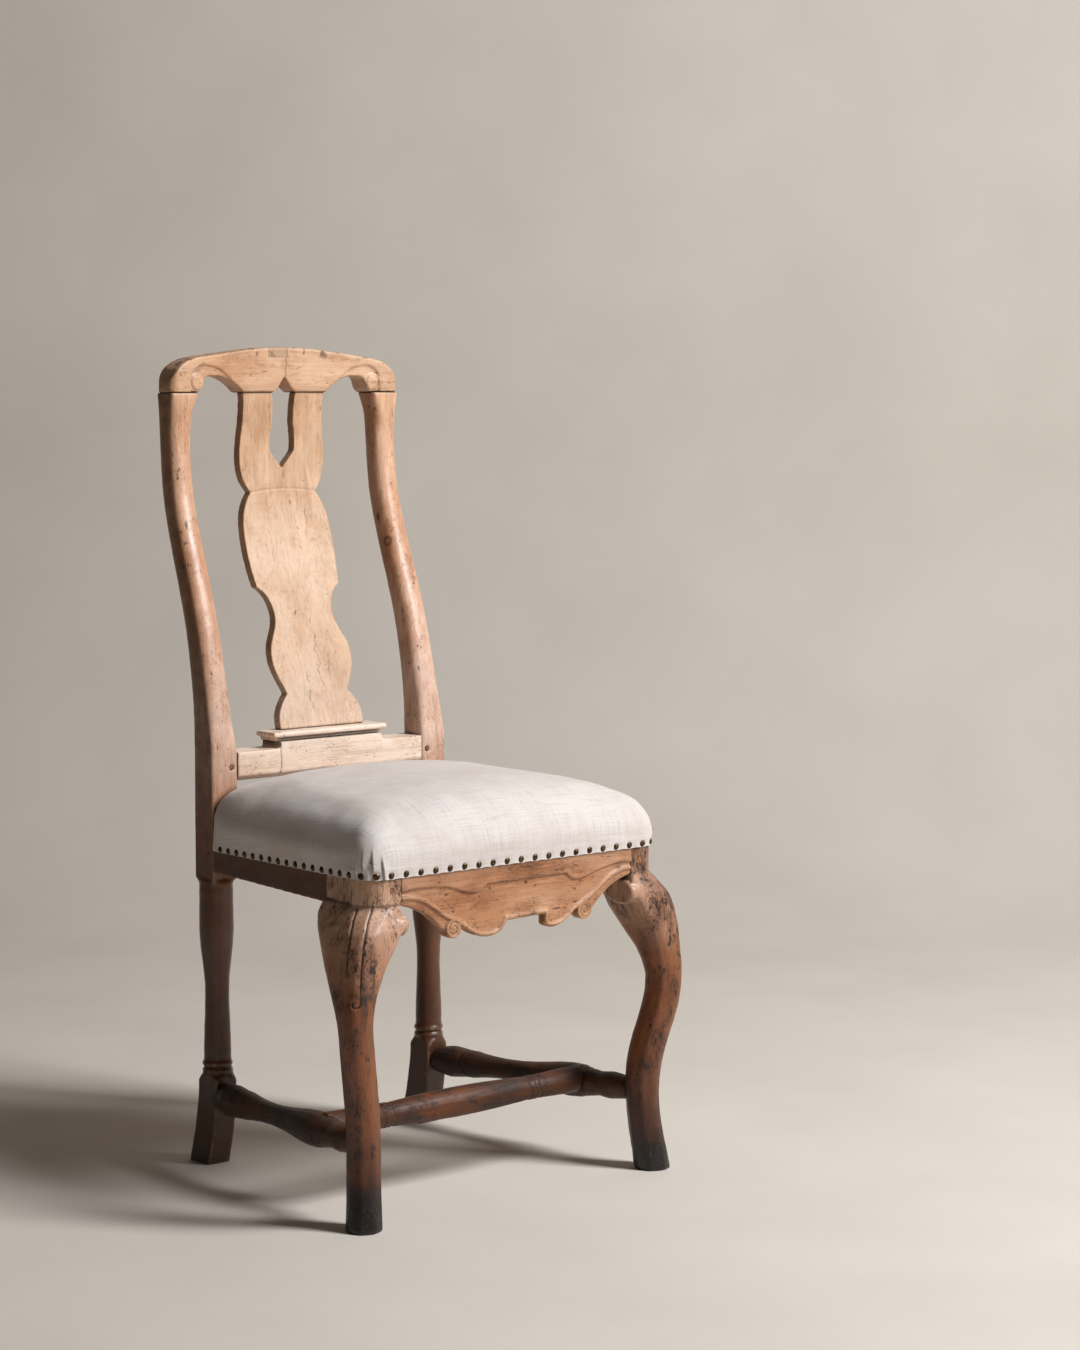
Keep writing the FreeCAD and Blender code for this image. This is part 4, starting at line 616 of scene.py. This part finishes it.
# Pleats at each front corner: angle round it, from the side, and the height that it runs out at
PLEATS = {-1: ((-80.0, 36.0), (-58.0, 46.0), (-34.0, 42.0), (-12.0, 34.0)), 1: ((-62.0, 36.0), (-28.0, 34.0))}
PLEAT_DEPTH = 2.6
# Between two tacks the edge stands out and up; a tack holds this far round it, in a dimple
SCALLOP_OUT, SCALLOP_UP = 1.1, 1.8
TACK_HOLD, TACK_DIMPLE = 7.5, 0.15
LINEN_WAVE = 0.9
# Height where the linen turns down from the seat's top to its sides
TURN_DOWN_Z = 492.0
COVER_VOXEL, PAD_VOXEL = 4.0, 5.0
# Air pressure behind the cloth, and the most that the cover and the pad may swell
SEAT_PRESSURE, COVER_SWELL, PAD_SWELL = 4.0, 7.0, 3.0
# What the pad loses all round before it swells, and its least distance from the linen
PAD_SHRINK, PAD_GAP = 4.5, 1.5
# How far the stuffing stands up above the CAD pad, at distances behind the front feet
CROWN_AT = (0.0, 60.0, 105.0, 160.0, 210.0, 250.0, 290.0, 330.0, 350.0, 364.0, 376.0, 390.0)
CROWN_RISES = (0.0, 2.0, 3.0, 5.0, 7.0, 9.0, 12.0, 18.0, 20.0, 19.0, 12.0, 3.0)
# Passes that even out a simulated swelling
EVENING_PASSES = 40
# How far the sides swell out over the tacks, and the height over the edge where they swell most
SIDE_SWELL, SWELL_HEIGHT = 5.0, 34.0
STRAP_WIDTH, STRAP_THICKNESS = 52.0, 1.5
STRAP_MIDDLES = ((-92.0, 0.0, 92.0), (87.2, 183.2, 279.2))
# Height of the straps where they cross, and at the rails for those from front to back and from side to side
STRAP_LEVEL = 457.7
STRAP_END_LEVELS = (456.9, 458.5)
STRAP_INSET = 5.5
CROSSING_REACH = 46.0
# The seat's bottom hangs most at a middle and not at all this far from it
STRAP_SAG, SAG_MIDDLE, SAG_REACH = 5.0, 200.0, 205.0
HESSIAN_LEVEL, HESSIAN_THICKNESS = 460.0, 0.5
HESSIAN_INSET, HESSIAN_BACK_HALF = 9.5, 146.0


def half_width(y):
    """Half the seat's width in mm at a distance behind the front feet."""
    return SEAT_CORNER_X - SIDE_DRAW_IN * (y - SEAT_FRONT)


def outward(drawn):
    """Level unit vectors, as rows of X and Y, that point away from the seat at places given in mm."""
    half = half_width(drawn[:, 1]) - SEAT_CORNER_RADIUS
    core_x = np.clip(drawn[:, 0], -half, half)
    core_y = np.clip(drawn[:, 1], SEAT_FRONT + SEAT_CORNER_RADIUS, SEAT_DEPTH + SEAT_FRONT - 20.0)
    away = np.stack([drawn[:, 0] - core_x, drawn[:, 1] - core_y], axis=1)
    return away / np.maximum(np.linalg.norm(away, axis=1), 1e-6)[:, None]


def over_edge(drawn):
    """Height in mm over the cover's lower edge, which is level along the front, then falls to the back."""
    back = np.clip((drawn[:, 1] - SEAT_FRONT - 10.0) / (SEAT_DEPTH - 10.0), 0.0, 1.0)
    return drawn[:, 2] - COVER_EDGE_FRONT - (COVER_EDGE_BACK - COVER_EDGE_FRONT) * back


def buried_faces(work, node_name):
    """Faces of a mesh with a corner inside a CAD node, as where the cover's cut round a post meets a rail.

    Inside, a ray that leads away from the nearest face still meets the node.
    """
    solid = bmesh.new()
    solid.from_mesh(merged_copy(node_name))
    bmesh.ops.recalc_face_normals(solid, faces=solid.faces)
    around = BVHTree.FromBMesh(solid)
    solid.free()
    buried = set()
    for vert in work.verts:
        hit, normal = around.find_nearest(vert.co)[:2]
        away = vert.co - hit
        if away.dot(normal) < -BURIED_DEPTH * MM and around.ray_cast(vert.co, away)[0]:
            buried.update(vert.link_faces)
    return list(buried)


def seat_outside(voxel):
    """Open mesh of the seat's outside: the cover's outer faces in even squares, without the underside."""
    work = bmesh.new()
    work.from_mesh(merged_copy("linen_cover"))
    bmesh.ops.recalc_face_normals(work, faces=work.faces)
    around = BVHTree.FromBMesh(work)
    inner = [f for f in work.faces if f.normal.z < -0.5
             or around.ray_cast(f.calc_center_median() + f.normal * 0.05 * MM, f.normal)[0]]
    bmesh.ops.delete(work, geom=inner, context="FACES")
    bmesh.ops.holes_fill(work, edges=[e for e in work.edges if e.is_boundary], sides=12)
    rim = [e for e in work.edges if e.is_boundary]
    skirt = bmesh.ops.extrude_edge_only(work, edges=rim)["geom"]
    for vert in (v for v in skirt if isinstance(v, bmesh.types.BMVert)):
        vert.co.z = SKIRT_Z * MM
    bmesh.ops.holes_fill(work, edges=[e for e in work.edges if e.is_boundary], sides=0)
    bmesh.ops.triangulate(work, faces=work.faces)
    bmesh.ops.recalc_face_normals(work, faces=work.faces)
    mesh = bpy.data.meshes.new("seat_outside")
    work.to_mesh(mesh)
    work.free()
    mesh = settled(mesh, [("REMESH", {"mode": "VOXEL", "voxel_size": voxel * MM})])
    work = bmesh.new()
    work.from_mesh(mesh)
    fall = (COVER_EDGE_FRONT - COVER_EDGE_BACK) / SEAT_DEPTH
    bmesh.ops.bisect_plane(work, geom=work.verts[:] + work.edges[:] + work.faces[:], clear_inner=True,
                           plane_co=(0.0, FEET_Y + SEAT_FRONT * MM, COVER_EDGE_FRONT * MM),
                           plane_no=(0.0, fall, 1.0))
    for name in ("rear_seat_rail", "side_seat_rail_left", "side_seat_rail_right"):
        bmesh.ops.delete(work, geom=buried_faces(work, name), context="FACES")
    work.to_mesh(mesh)
    work.free()
    return mesh


def puffed(mesh, held, pressure, most):
    """Mesh after twenty frames as cloth with air behind it; held vertices stay and none moves over most mm.

    The swelling is evened out, so that the cloth keeps no small buckle.
    """
    holder = bpy.data.objects.new("puffing", mesh)
    bpy.context.scene.collection.objects.link(holder)
    before = points_of(mesh)[0]
    cloth = holder.modifiers.new("cloth", "CLOTH")
    cloth.settings.use_pressure = True
    cloth.settings.uniform_pressure_force = pressure
    cloth.settings.effector_weights.gravity = 0
    cloth.settings.quality = 4
    if len(held):
        group = holder.vertex_groups.new(name="held")
        group.add([int(i) for i in held], 1.0, "REPLACE")
        cloth.settings.vertex_group_mass = group.name
    cloth.point_cache.frame_start, cloth.point_cache.frame_end = 1, 20
    for frame_number in range(1, 21):
        bpy.context.scene.frame_set(frame_number)
    graph = bpy.context.evaluated_depsgraph_get()
    result = bpy.data.meshes.new_from_object(holder.evaluated_get(graph))
    bpy.data.objects.remove(holder)
    bpy.context.scene.frame_set(1)
    step = points_of(result)[0] - before
    length = np.linalg.norm(step, axis=1)
    step *= np.minimum(1.0, most * MM / np.maximum(length, 1e-9))[:, None]
    ends = np.zeros(2 * len(result.edges), dtype=int)
    result.edges.foreach_get("vertices", ends)
    one, other = ends.reshape(-1, 2).T
    count = np.maximum(np.bincount(ends, minlength=len(step)), 1)[:, None]
    for _ in range(EVENING_PASSES):
        total = np.zeros_like(step)
        np.add.at(total, one, step[other])
        np.add.at(total, other, step[one])
        step = (step + total / count) / 2
        step[held] = 0.0
    move_points(result, before + step)
    return result


def held_inside(mesh, shell, depth):
    """Moves each vertex of a mesh that isn't so many mm behind an open shell back to that depth."""
    work = bmesh.new()
    work.from_mesh(shell)
    around = BVHTree.FromBMesh(work)
    work.free()
    places = points_of(mesh)[0]
    for index, place in enumerate(places):
        hit, normal = around.find_nearest(place)[:2]
        short = depth * MM - (hit - Vector(place)).dot(normal)
        if short > 0:
            places[index] -= np.array(normal) * short
    move_points(mesh, places)


def lay_flat(mesh, flat):
    """Gives a cloth its UV map: the place of each vertex, in metres, on the cloth before it was put on."""
    layer = mesh.uv_layers.new(name="flat_cloth")
    corners = np.zeros(len(mesh.loops), dtype=int)
    mesh.loops.foreach_get("vertex_index", corners)
    layer.data.foreach_set("uv", flat[corners].ravel())


def tack_places():
    """Centre of each tack head's base in mm, and its level outward direction, from the CAD tacks."""
    work = bmesh.new()
    work.from_mesh(merged_copy("cover_tacks"))
    left = set(work.verts)
    found = []
    while left:
        group, front = [], [left.pop()]
        while front:
            vert = front.pop()
            group.append(vert.co / MM)
            near = {e.other_vert(vert) for e in vert.link_edges} & left
            left -= near
            front.extend(near)
        found.append(np.array(group) - FEET)
    work.free()
    ways = outward(np.array([group.mean(axis=0) for group in found]))
    bases = []
    for group, way in zip(found, ways):
        reach = (group[:, :2] @ way).max() - TACK_HEIGHT
        middle = group.mean(axis=0)
        middle[:2] += way * (reach - middle[:2] @ way)
        bases.append(middle)
    order = np.lexsort((np.array(bases)[:, 1], np.array(bases)[:, 0]))
    return np.array(bases)[order], ways[order]


def crown(drawn):
    """How far in mm the filled seat rises above the CAD pad, most behind and towards the sides."""
    across = np.clip(np.abs(drawn[:, 0]) / half_width(drawn[:, 1]), 0.0, 1.0)
    return np.interp(drawn[:, 1], CROWN_AT, CROWN_RISES) * (1 + 0.35 * across ** 2) * (1 - across ** 12)


def broad_roll(drawn):
    """Share of the front corners, above the pleats, and of the sides, where the cover rolls over broadly."""
    half = SEAT_CORNER_X - SEAT_CORNER_RADIUS
    gap = np.hypot(np.maximum(half - np.abs(drawn[:, 0]), 0.0),
                   np.maximum(drawn[:, 1] - SEAT_FRONT - SEAT_CORNER_RADIUS, 0.0))
    corner = eased(gap, 90.0, 20.0) * eased(drawn[:, 2], 474.0, 492.0)
    side = eased(half_width(drawn[:, 1]) - np.abs(drawn[:, 0]), 80.0, 40.0) * eased(drawn[:, 2], 462.0, 482.0)
    return np.maximum(corner, 0.8 * side * eased(drawn[:, 1], 345.0, 270.0))


def pleats(drawn, height):
    """Front-corner pleats: outward moves in mm, folds swelling to a lip, and a dark line of dust and painted
    shade.
    """
    moves, dark = np.zeros(len(drawn)), np.zeros(len(drawn))
    for side, angles in PLEATS.items():
        centre = (side * (SEAT_CORNER_X - SEAT_CORNER_RADIUS), SEAT_FRONT + SEAT_CORNER_RADIUS)
        across = (drawn[:, 0] - centre[0]) * side
        along = drawn[:, 1] - centre[1]
        distance = np.hypot(across, along)
        for angle, top in angles:
            lean = angle + 5.0 * np.sin(height / 20.0)
            gap = np.radians(np.degrees(np.arctan2(along, across)) - lean) * distance
            swell = np.clip(1 + gap / 11.0, 0.0, 1.0) ** 1.6
            lip = np.clip(1 - gap / 2.0, 0.0, 1.0)
            fade = eased(height, top, top * 0.45) * (distance > 14.0)
            moves += PLEAT_DEPTH * np.where(gap < 0, swell, lip) * fade
            # Painted shade, partly dust: a dark line behind each lip, where the fold's shade falls
            dark = np.maximum(dark, np.exp(-((gap - 1.8) / 1.1) ** 2) * eased(height, top * 0.9, top * 0.4)
                              * (distance > 14.0))
    return moves, dark


def finer(mesh, test):
    """Mesh with the edges halved whose middles, in mm, pass a test."""
    work = bmesh.new()
    work.from_mesh(mesh)
    middles = np.array([(e.verts[0].co + e.verts[1].co) / 2 / MM for e in work.edges])
    chosen = [e for e, near in zip(work.edges[:], test(middles - FEET)) if near]
    bmesh.ops.subdivide_edges(work, edges=chosen, cuts=1, use_grid_fill=True)
    bmesh.ops.triangulate(work, faces=[f for f in work.faces if len(f.verts) > 4])
    work.to_mesh(mesh)
    work.free()
    return mesh


def near_edge(drawn):
    """The band along the tacks and the front corners, where the cloth is scalloped and pleated."""
    height = over_edge(drawn)
    corner = (np.abs(drawn[:, 0]) > SEAT_CORNER_X - 60.0) & (drawn[:, 1] < SEAT_FRONT + 60.0)
    return (height < 16.0) | corner & (height < 66.0)


def near_pleat(drawn):
    """The lower part of the front corners."""
    corner = (np.abs(drawn[:, 0]) > SEAT_CORNER_X - 48.0) & (drawn[:, 1] < SEAT_FRONT + 48.0)
    return corner & (over_edge(drawn) < 60.0)


tacks, tack_ways = tack_places()

# Linen: crowned and rounded over the pad, puffed, pleated at the front corners and dimpled at each tack
cover = seat_outside(COVER_VOXEL)
drawn = drawn_places(cover)[0]
height = over_edge(drawn)
drawn[:, 2] += crown(drawn) * eased(height, 20.0, 55.0)
move_points(cover, to_frame(drawn))
before_posts = 0.25 + 0.75 * eased(drawn[:, 1], POST_FRONT - 4.0, POST_FRONT - 40.5)
cover = relaxed(cover, 44, eased(height, 8.0, 30.0) * before_posts)
cover = relaxed(cover, 90, broad_roll(drawn))
drawn, normals = drawn_places(cover)
height = over_edge(drawn)
swell = np.exp(-((height - SWELL_HEIGHT) / 20.0) ** 2) * np.linalg.norm(normals[:, :2], axis=1)
swell *= eased(drawn[:, 1], POST_FRONT - 2.0, POST_FRONT - 34.0)
drawn[:, :2] += outward(drawn) * (SIDE_SWELL * swell)[:, None]
move_points(cover, to_frame(drawn))
held = np.nonzero((height < 13.0) | (drawn[:, 1] > POST_FRONT - 6.0))[0]
cover = puffed(cover, held, SEAT_PRESSURE, COVER_SWELL)
cover = finer(finer(cover, near_edge), near_pleat)
drawn, normals = drawn_places(cover)
height = over_edge(drawn)
ways = outward(drawn)
wave = dented(drawn, 55.0, 21.0, 0.4)
nearest = np.min([np.linalg.norm(drawn - base, axis=1) for base in tacks], axis=0)
between = 1 - np.exp(-(nearest / TACK_HOLD) ** 2)
folds, crease_dust_and_shade = pleats(drawn, height)
puffs = (folds + SCALLOP_OUT * eased(height, 22.0, 4.0)) * between - TACK_DIMPLE * (1 - between)
drawn[:, :2] += ways * puffs[:, None]
drawn[:, 2] += SCALLOP_UP * between * eased(height, 8.0, 0.0)
drawn += normals * (LINEN_WAVE * wave * eased(height, 10.0, 40.0))[:, None]
move_points(cover, to_frame(drawn))
drop = np.maximum(0.0, TURN_DOWN_Z - drawn[:, 2])
lay_flat(cover, (drawn[:, :2] + ways * drop[:, None]) * MM)
# The fold darkening, painted shade with some dust, goes to the cloth as its mark
cover.attributes.new("mark", "FLOAT", "POINT").data.foreach_set("value", 0.65 * crease_dust_and_shade * between)
shell = cover.copy()
cover = settled(cover, [("SOLIDIFY", {"thickness": LINEN_THICKNESS * MM, "offset": -1.0})])
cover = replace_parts(new_piece("linen_cover_cloth", cover, linen), "linen_cover")

# Stuffing: a slightly smaller pad that swells under the linen
pad = settled(merged_copy("seat_stuffing"), [("REMESH", {"mode": "VOXEL", "voxel_size": PAD_VOXEL * MM})])
drawn = drawn_places(pad)[0]
drawn[:, 2] += crown(drawn) * eased(drawn[:, 2], 465.0, 490.0)
move_points(pad, to_frame(drawn))
pad = relaxed(pad, 40, np.ones(len(pad.vertices)))
places, normals = points_of(pad)
move_points(pad, places - normals * PAD_SHRINK * MM)
pad = puffed(pad, [], SEAT_PRESSURE, PAD_SWELL)
pad = settled(pad, [("SUBSURF", {"levels": 1, "render_levels": 1})])
held_inside(pad, shell, LINEN_THICKNESS + PAD_GAP)
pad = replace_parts(new_piece("seat_stuffing_pad", pad, hair), "seat_stuffing")

# Tacks: domed heads, each a little out of true
rng = np.random.default_rng(7)
mesh = bpy.data.meshes.new("cover_tacks_heads")
work = bmesh.new()
for base, way in zip(tacks, tack_ways):
    made = bmesh.ops.create_uvsphere(work, u_segments=14, v_segments=10, radius=TACK_RADIUS * MM)["verts"]
    tilt = Vector((way[0], way[1], 0.0)) + Vector(rng.normal(0.0, 0.06, 3))
    turn = tilt.to_track_quat("Z", "Y").to_matrix().to_4x4()
    for vert in made:
        vert.co.z = max(vert.co.z, -0.25 * TACK_RADIUS * MM) * TACK_HEIGHT / TACK_RADIUS
        vert.co = turn @ vert.co + Vector(to_frame(base))
work.to_mesh(mesh)
work.free()
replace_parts(new_piece("cover_tacks_heads", mesh, brass), "cover_tacks")


def flat_sheet(name, lo, hi, divisions, shape, thickness):
    """Sheet from a grid over a box in plan, in mm, shaped by a function of its places, with a thickness."""
    work = bmesh.new()
    bmesh.ops.create_grid(work, x_segments=divisions[0], y_segments=divisions[1], size=0.5)
    mesh = bpy.data.meshes.new(name)
    work.to_mesh(mesh)
    work.free()
    grid = points_of(mesh)[0]
    spread = np.array([lo[0], lo[1], 0.0]) + (grid + [0.5, 0.5, 0.0]) * [hi[0] - lo[0], hi[1] - lo[1], 0.0]
    move_points(mesh, to_frame(shape(spread)))
    lay_flat(mesh, spread[:, :2] * MM)
    return settled(mesh, [("SOLIDIFY", {"thickness": thickness * MM, "offset": 0.0})])


def sag(places):
    """How far in mm the seat's bottom hangs between the rails at each place."""
    across = 1 - (places[:, 0] / SAG_REACH) ** 2
    along = 1 - ((places[:, 1] - SAG_MIDDLE) / SAG_REACH) ** 2
    return STRAP_SAG * np.clip(across, 0.0, 1.0) * np.clip(along, 0.0, 1.0)


def crossing(distance):
    """Swell of a strap over or under another, from 1 at the crossing to 0 halfway to the next."""
    swell = 0.5 + 0.5 * np.cos(math.pi * distance / CROSSING_REACH)
    return np.where(np.abs(distance) < CROSSING_REACH, swell, 0.0)


def woven_straps(node_name, way):
    """Webbing straps of one direction, each over and under the straps that cross it in turn."""
    lo, hi = drawn_box(node_name)
    level = STRAP_END_LEVELS[way]
    for i, middle in enumerate(STRAP_MIDDLES[way]):
        ends = [lo[1 - way], hi[1 - way]]
        if way == 1:
            reach = half_width(middle + STRAP_WIDTH / 2) - STRAP_INSET
            ends = [-reach, reach]
        corner_lo, corner_hi = np.zeros(2), np.zeros(2)
        corner_lo[way], corner_hi[way] = middle - STRAP_WIDTH / 2, middle + STRAP_WIDTH / 2
        corner_lo[1 - way], corner_hi[1 - way] = ends

        def shape(places):
            """The strap's places, raised or lowered at each crossing and sagging with the seat's bottom."""
            swell = sum((1 if (i + j + way) % 2 else -1) * crossing(places[:, 1 - way] - other)
                        for j, other in enumerate(STRAP_MIDDLES[1 - way]))
            inside = eased(places[:, 1 - way], ends[0] + 30.0, ends[0] + 70.0)
            inside *= eased(places[:, 1 - way], ends[1] - 30.0, ends[1] - 70.0)
            bent = places.copy()
            bent[:, 2] = level + inside * (STRAP_LEVEL - level + 0.95 * swell) - sag(places)
            return bent

        divisions = (8, 80) if way == 0 else (80, 8)
        name = "%s_strap_%d" % (node_name, i + 1)
        mesh = flat_sheet(name, corner_lo, corner_hi, divisions, shape, STRAP_THICKNESS)
        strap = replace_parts(new_piece(name, mesh, jute_strap), node_name)


def hessian(places):
    """Base cloth drawn over the straps: cut to the seat's plan, sagging with them and faintly cockled."""
    half = half_width(places[:, 1]) - HESSIAN_INSET
    half = np.where(places[:, 1] > POST_FRONT - 4.0, HESSIAN_BACK_HALF, half)
    bent = places.copy()
    bent[:, 0] = np.clip(places[:, 0], -half, half)
    ripple = np.array([noise.noise(Vector(p) / 40.0) for p in places])
    bent[:, 2] = HESSIAN_LEVEL + 0.25 * ripple - sag(bent)
    return bent


woven_straps("webbing_lengthwise", 0)
woven_straps("webbing_crosswise", 1)
lo, hi = drawn_box("base_cloth")
mesh = flat_sheet("base_cloth_hessian", lo[:2], hi[:2], (60, 54), hessian, HESSIAN_THICKNESS)
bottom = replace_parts(new_piece("base_cloth_hessian", mesh, jute), "base_cloth")


# Floor and backdrop in one sweep, light and camera
AZIMUTH, PITCH = math.radians(-40.88), math.radians(-5.361)
away = Vector((-math.sin(AZIMUTH), math.cos(AZIMUTH), 0.0))
aside = Vector((away.y, -away.x, 0.0))
SWEEP_BACK, SWEEP_RADIUS, SWEEP_TOP, SWEEP_HALF_WIDTH, SWEEP_FRONT = 1.7, 0.9, 5.0, 6.0, -6.0
bend = [(SWEEP_BACK + SWEEP_RADIUS * math.sin(a), SWEEP_RADIUS * (1 - math.cos(a)))
        for a in np.linspace(0.0, math.pi / 2, 16)]
work = bmesh.new()
row = [work.verts.new(away * reach + aside * -SWEEP_HALF_WIDTH + Vector((0.0, 0.0, z)))
       for reach, z in [(SWEEP_FRONT, 0.0)] + bend + [(SWEEP_BACK + SWEEP_RADIUS, SWEEP_TOP)]]
edges = [work.edges.new(pair) for pair in zip(row[:-1], row[1:])]
moved = bmesh.ops.extrude_edge_only(work, edges=edges)["geom"]
bmesh.ops.translate(work, verts=[v for v in moved if isinstance(v, bmesh.types.BMVert)],
                    vec=aside * (2 * SWEEP_HALF_WIDTH))
bmesh.ops.recalc_face_normals(work, faces=work.faces)
floor_mesh = bpy.data.meshes.new("sweep")
work.to_mesh(floor_mesh)
work.free()
floor = bpy.data.objects.new("sweep", floor_mesh)
bpy.context.scene.collection.objects.link(floor)
floor_mesh.polygons.foreach_set("use_smooth", [True] * len(floor_mesh.polygons))
sweep = Surface("pale_sweep")
mottle = sweep.grains(1000 / 3, 1000 / 3, "X", 3.0)
tint = sweep.stepped(mottle, (0.3, "#D3CCC3"), (0.7, "#DAD3CA"))
floor_mesh.materials.append(sweep.done({"Base Color": tint, "Roughness": 0.9}))

world = bpy.data.worlds.new("studio")
bpy.context.scene.world = world
world.use_nodes = True
background = world.node_tree.nodes["Background"]
background.inputs["Color"].default_value = linear("#DFC5B2")
background.inputs["Strength"].default_value = 0.06


def soft_lamp(name, place, aim, size, watts):
    """Upright soft box, its width and height in size, turned towards a point."""
    lamp = bpy.data.lights.new(name, "AREA")
    lamp.shape = "RECTANGLE"
    lamp.size, lamp.size_y = size
    lamp.energy = watts
    holder = bpy.data.objects.new(name, lamp)
    bpy.context.scene.collection.objects.link(holder)
    holder.location = place
    holder.rotation_euler = (Vector(aim) - Vector(place)).to_track_quat("-Z", "Y").to_euler()


soft_lamp("key", (1.55, -2.7, 3.3), (0.0, 0.0, 0.55), (0.9, 2.4), 224.0)
soft_lamp("fill", (-2.6, -2.4, 1.8), (0.0, 0.0, 0.5), (2.2, 2.2), 1.2)

LENS_MM = 84.92
CAMERA = Vector((-2.6136, FEET_Y - 3.0723, 1.0569))
lens = bpy.data.cameras.new("camera")
lens.lens = LENS_MM
lens.sensor_width = 36.0
camera = bpy.data.objects.new("camera", lens)
bpy.context.scene.collection.objects.link(camera)
camera.location = CAMERA
camera.rotation_euler = (math.pi / 2 + PITCH, 0.0, AZIMUTH)
bpy.context.scene.camera = camera
bpy.context.scene.view_settings.view_transform = "Standard"
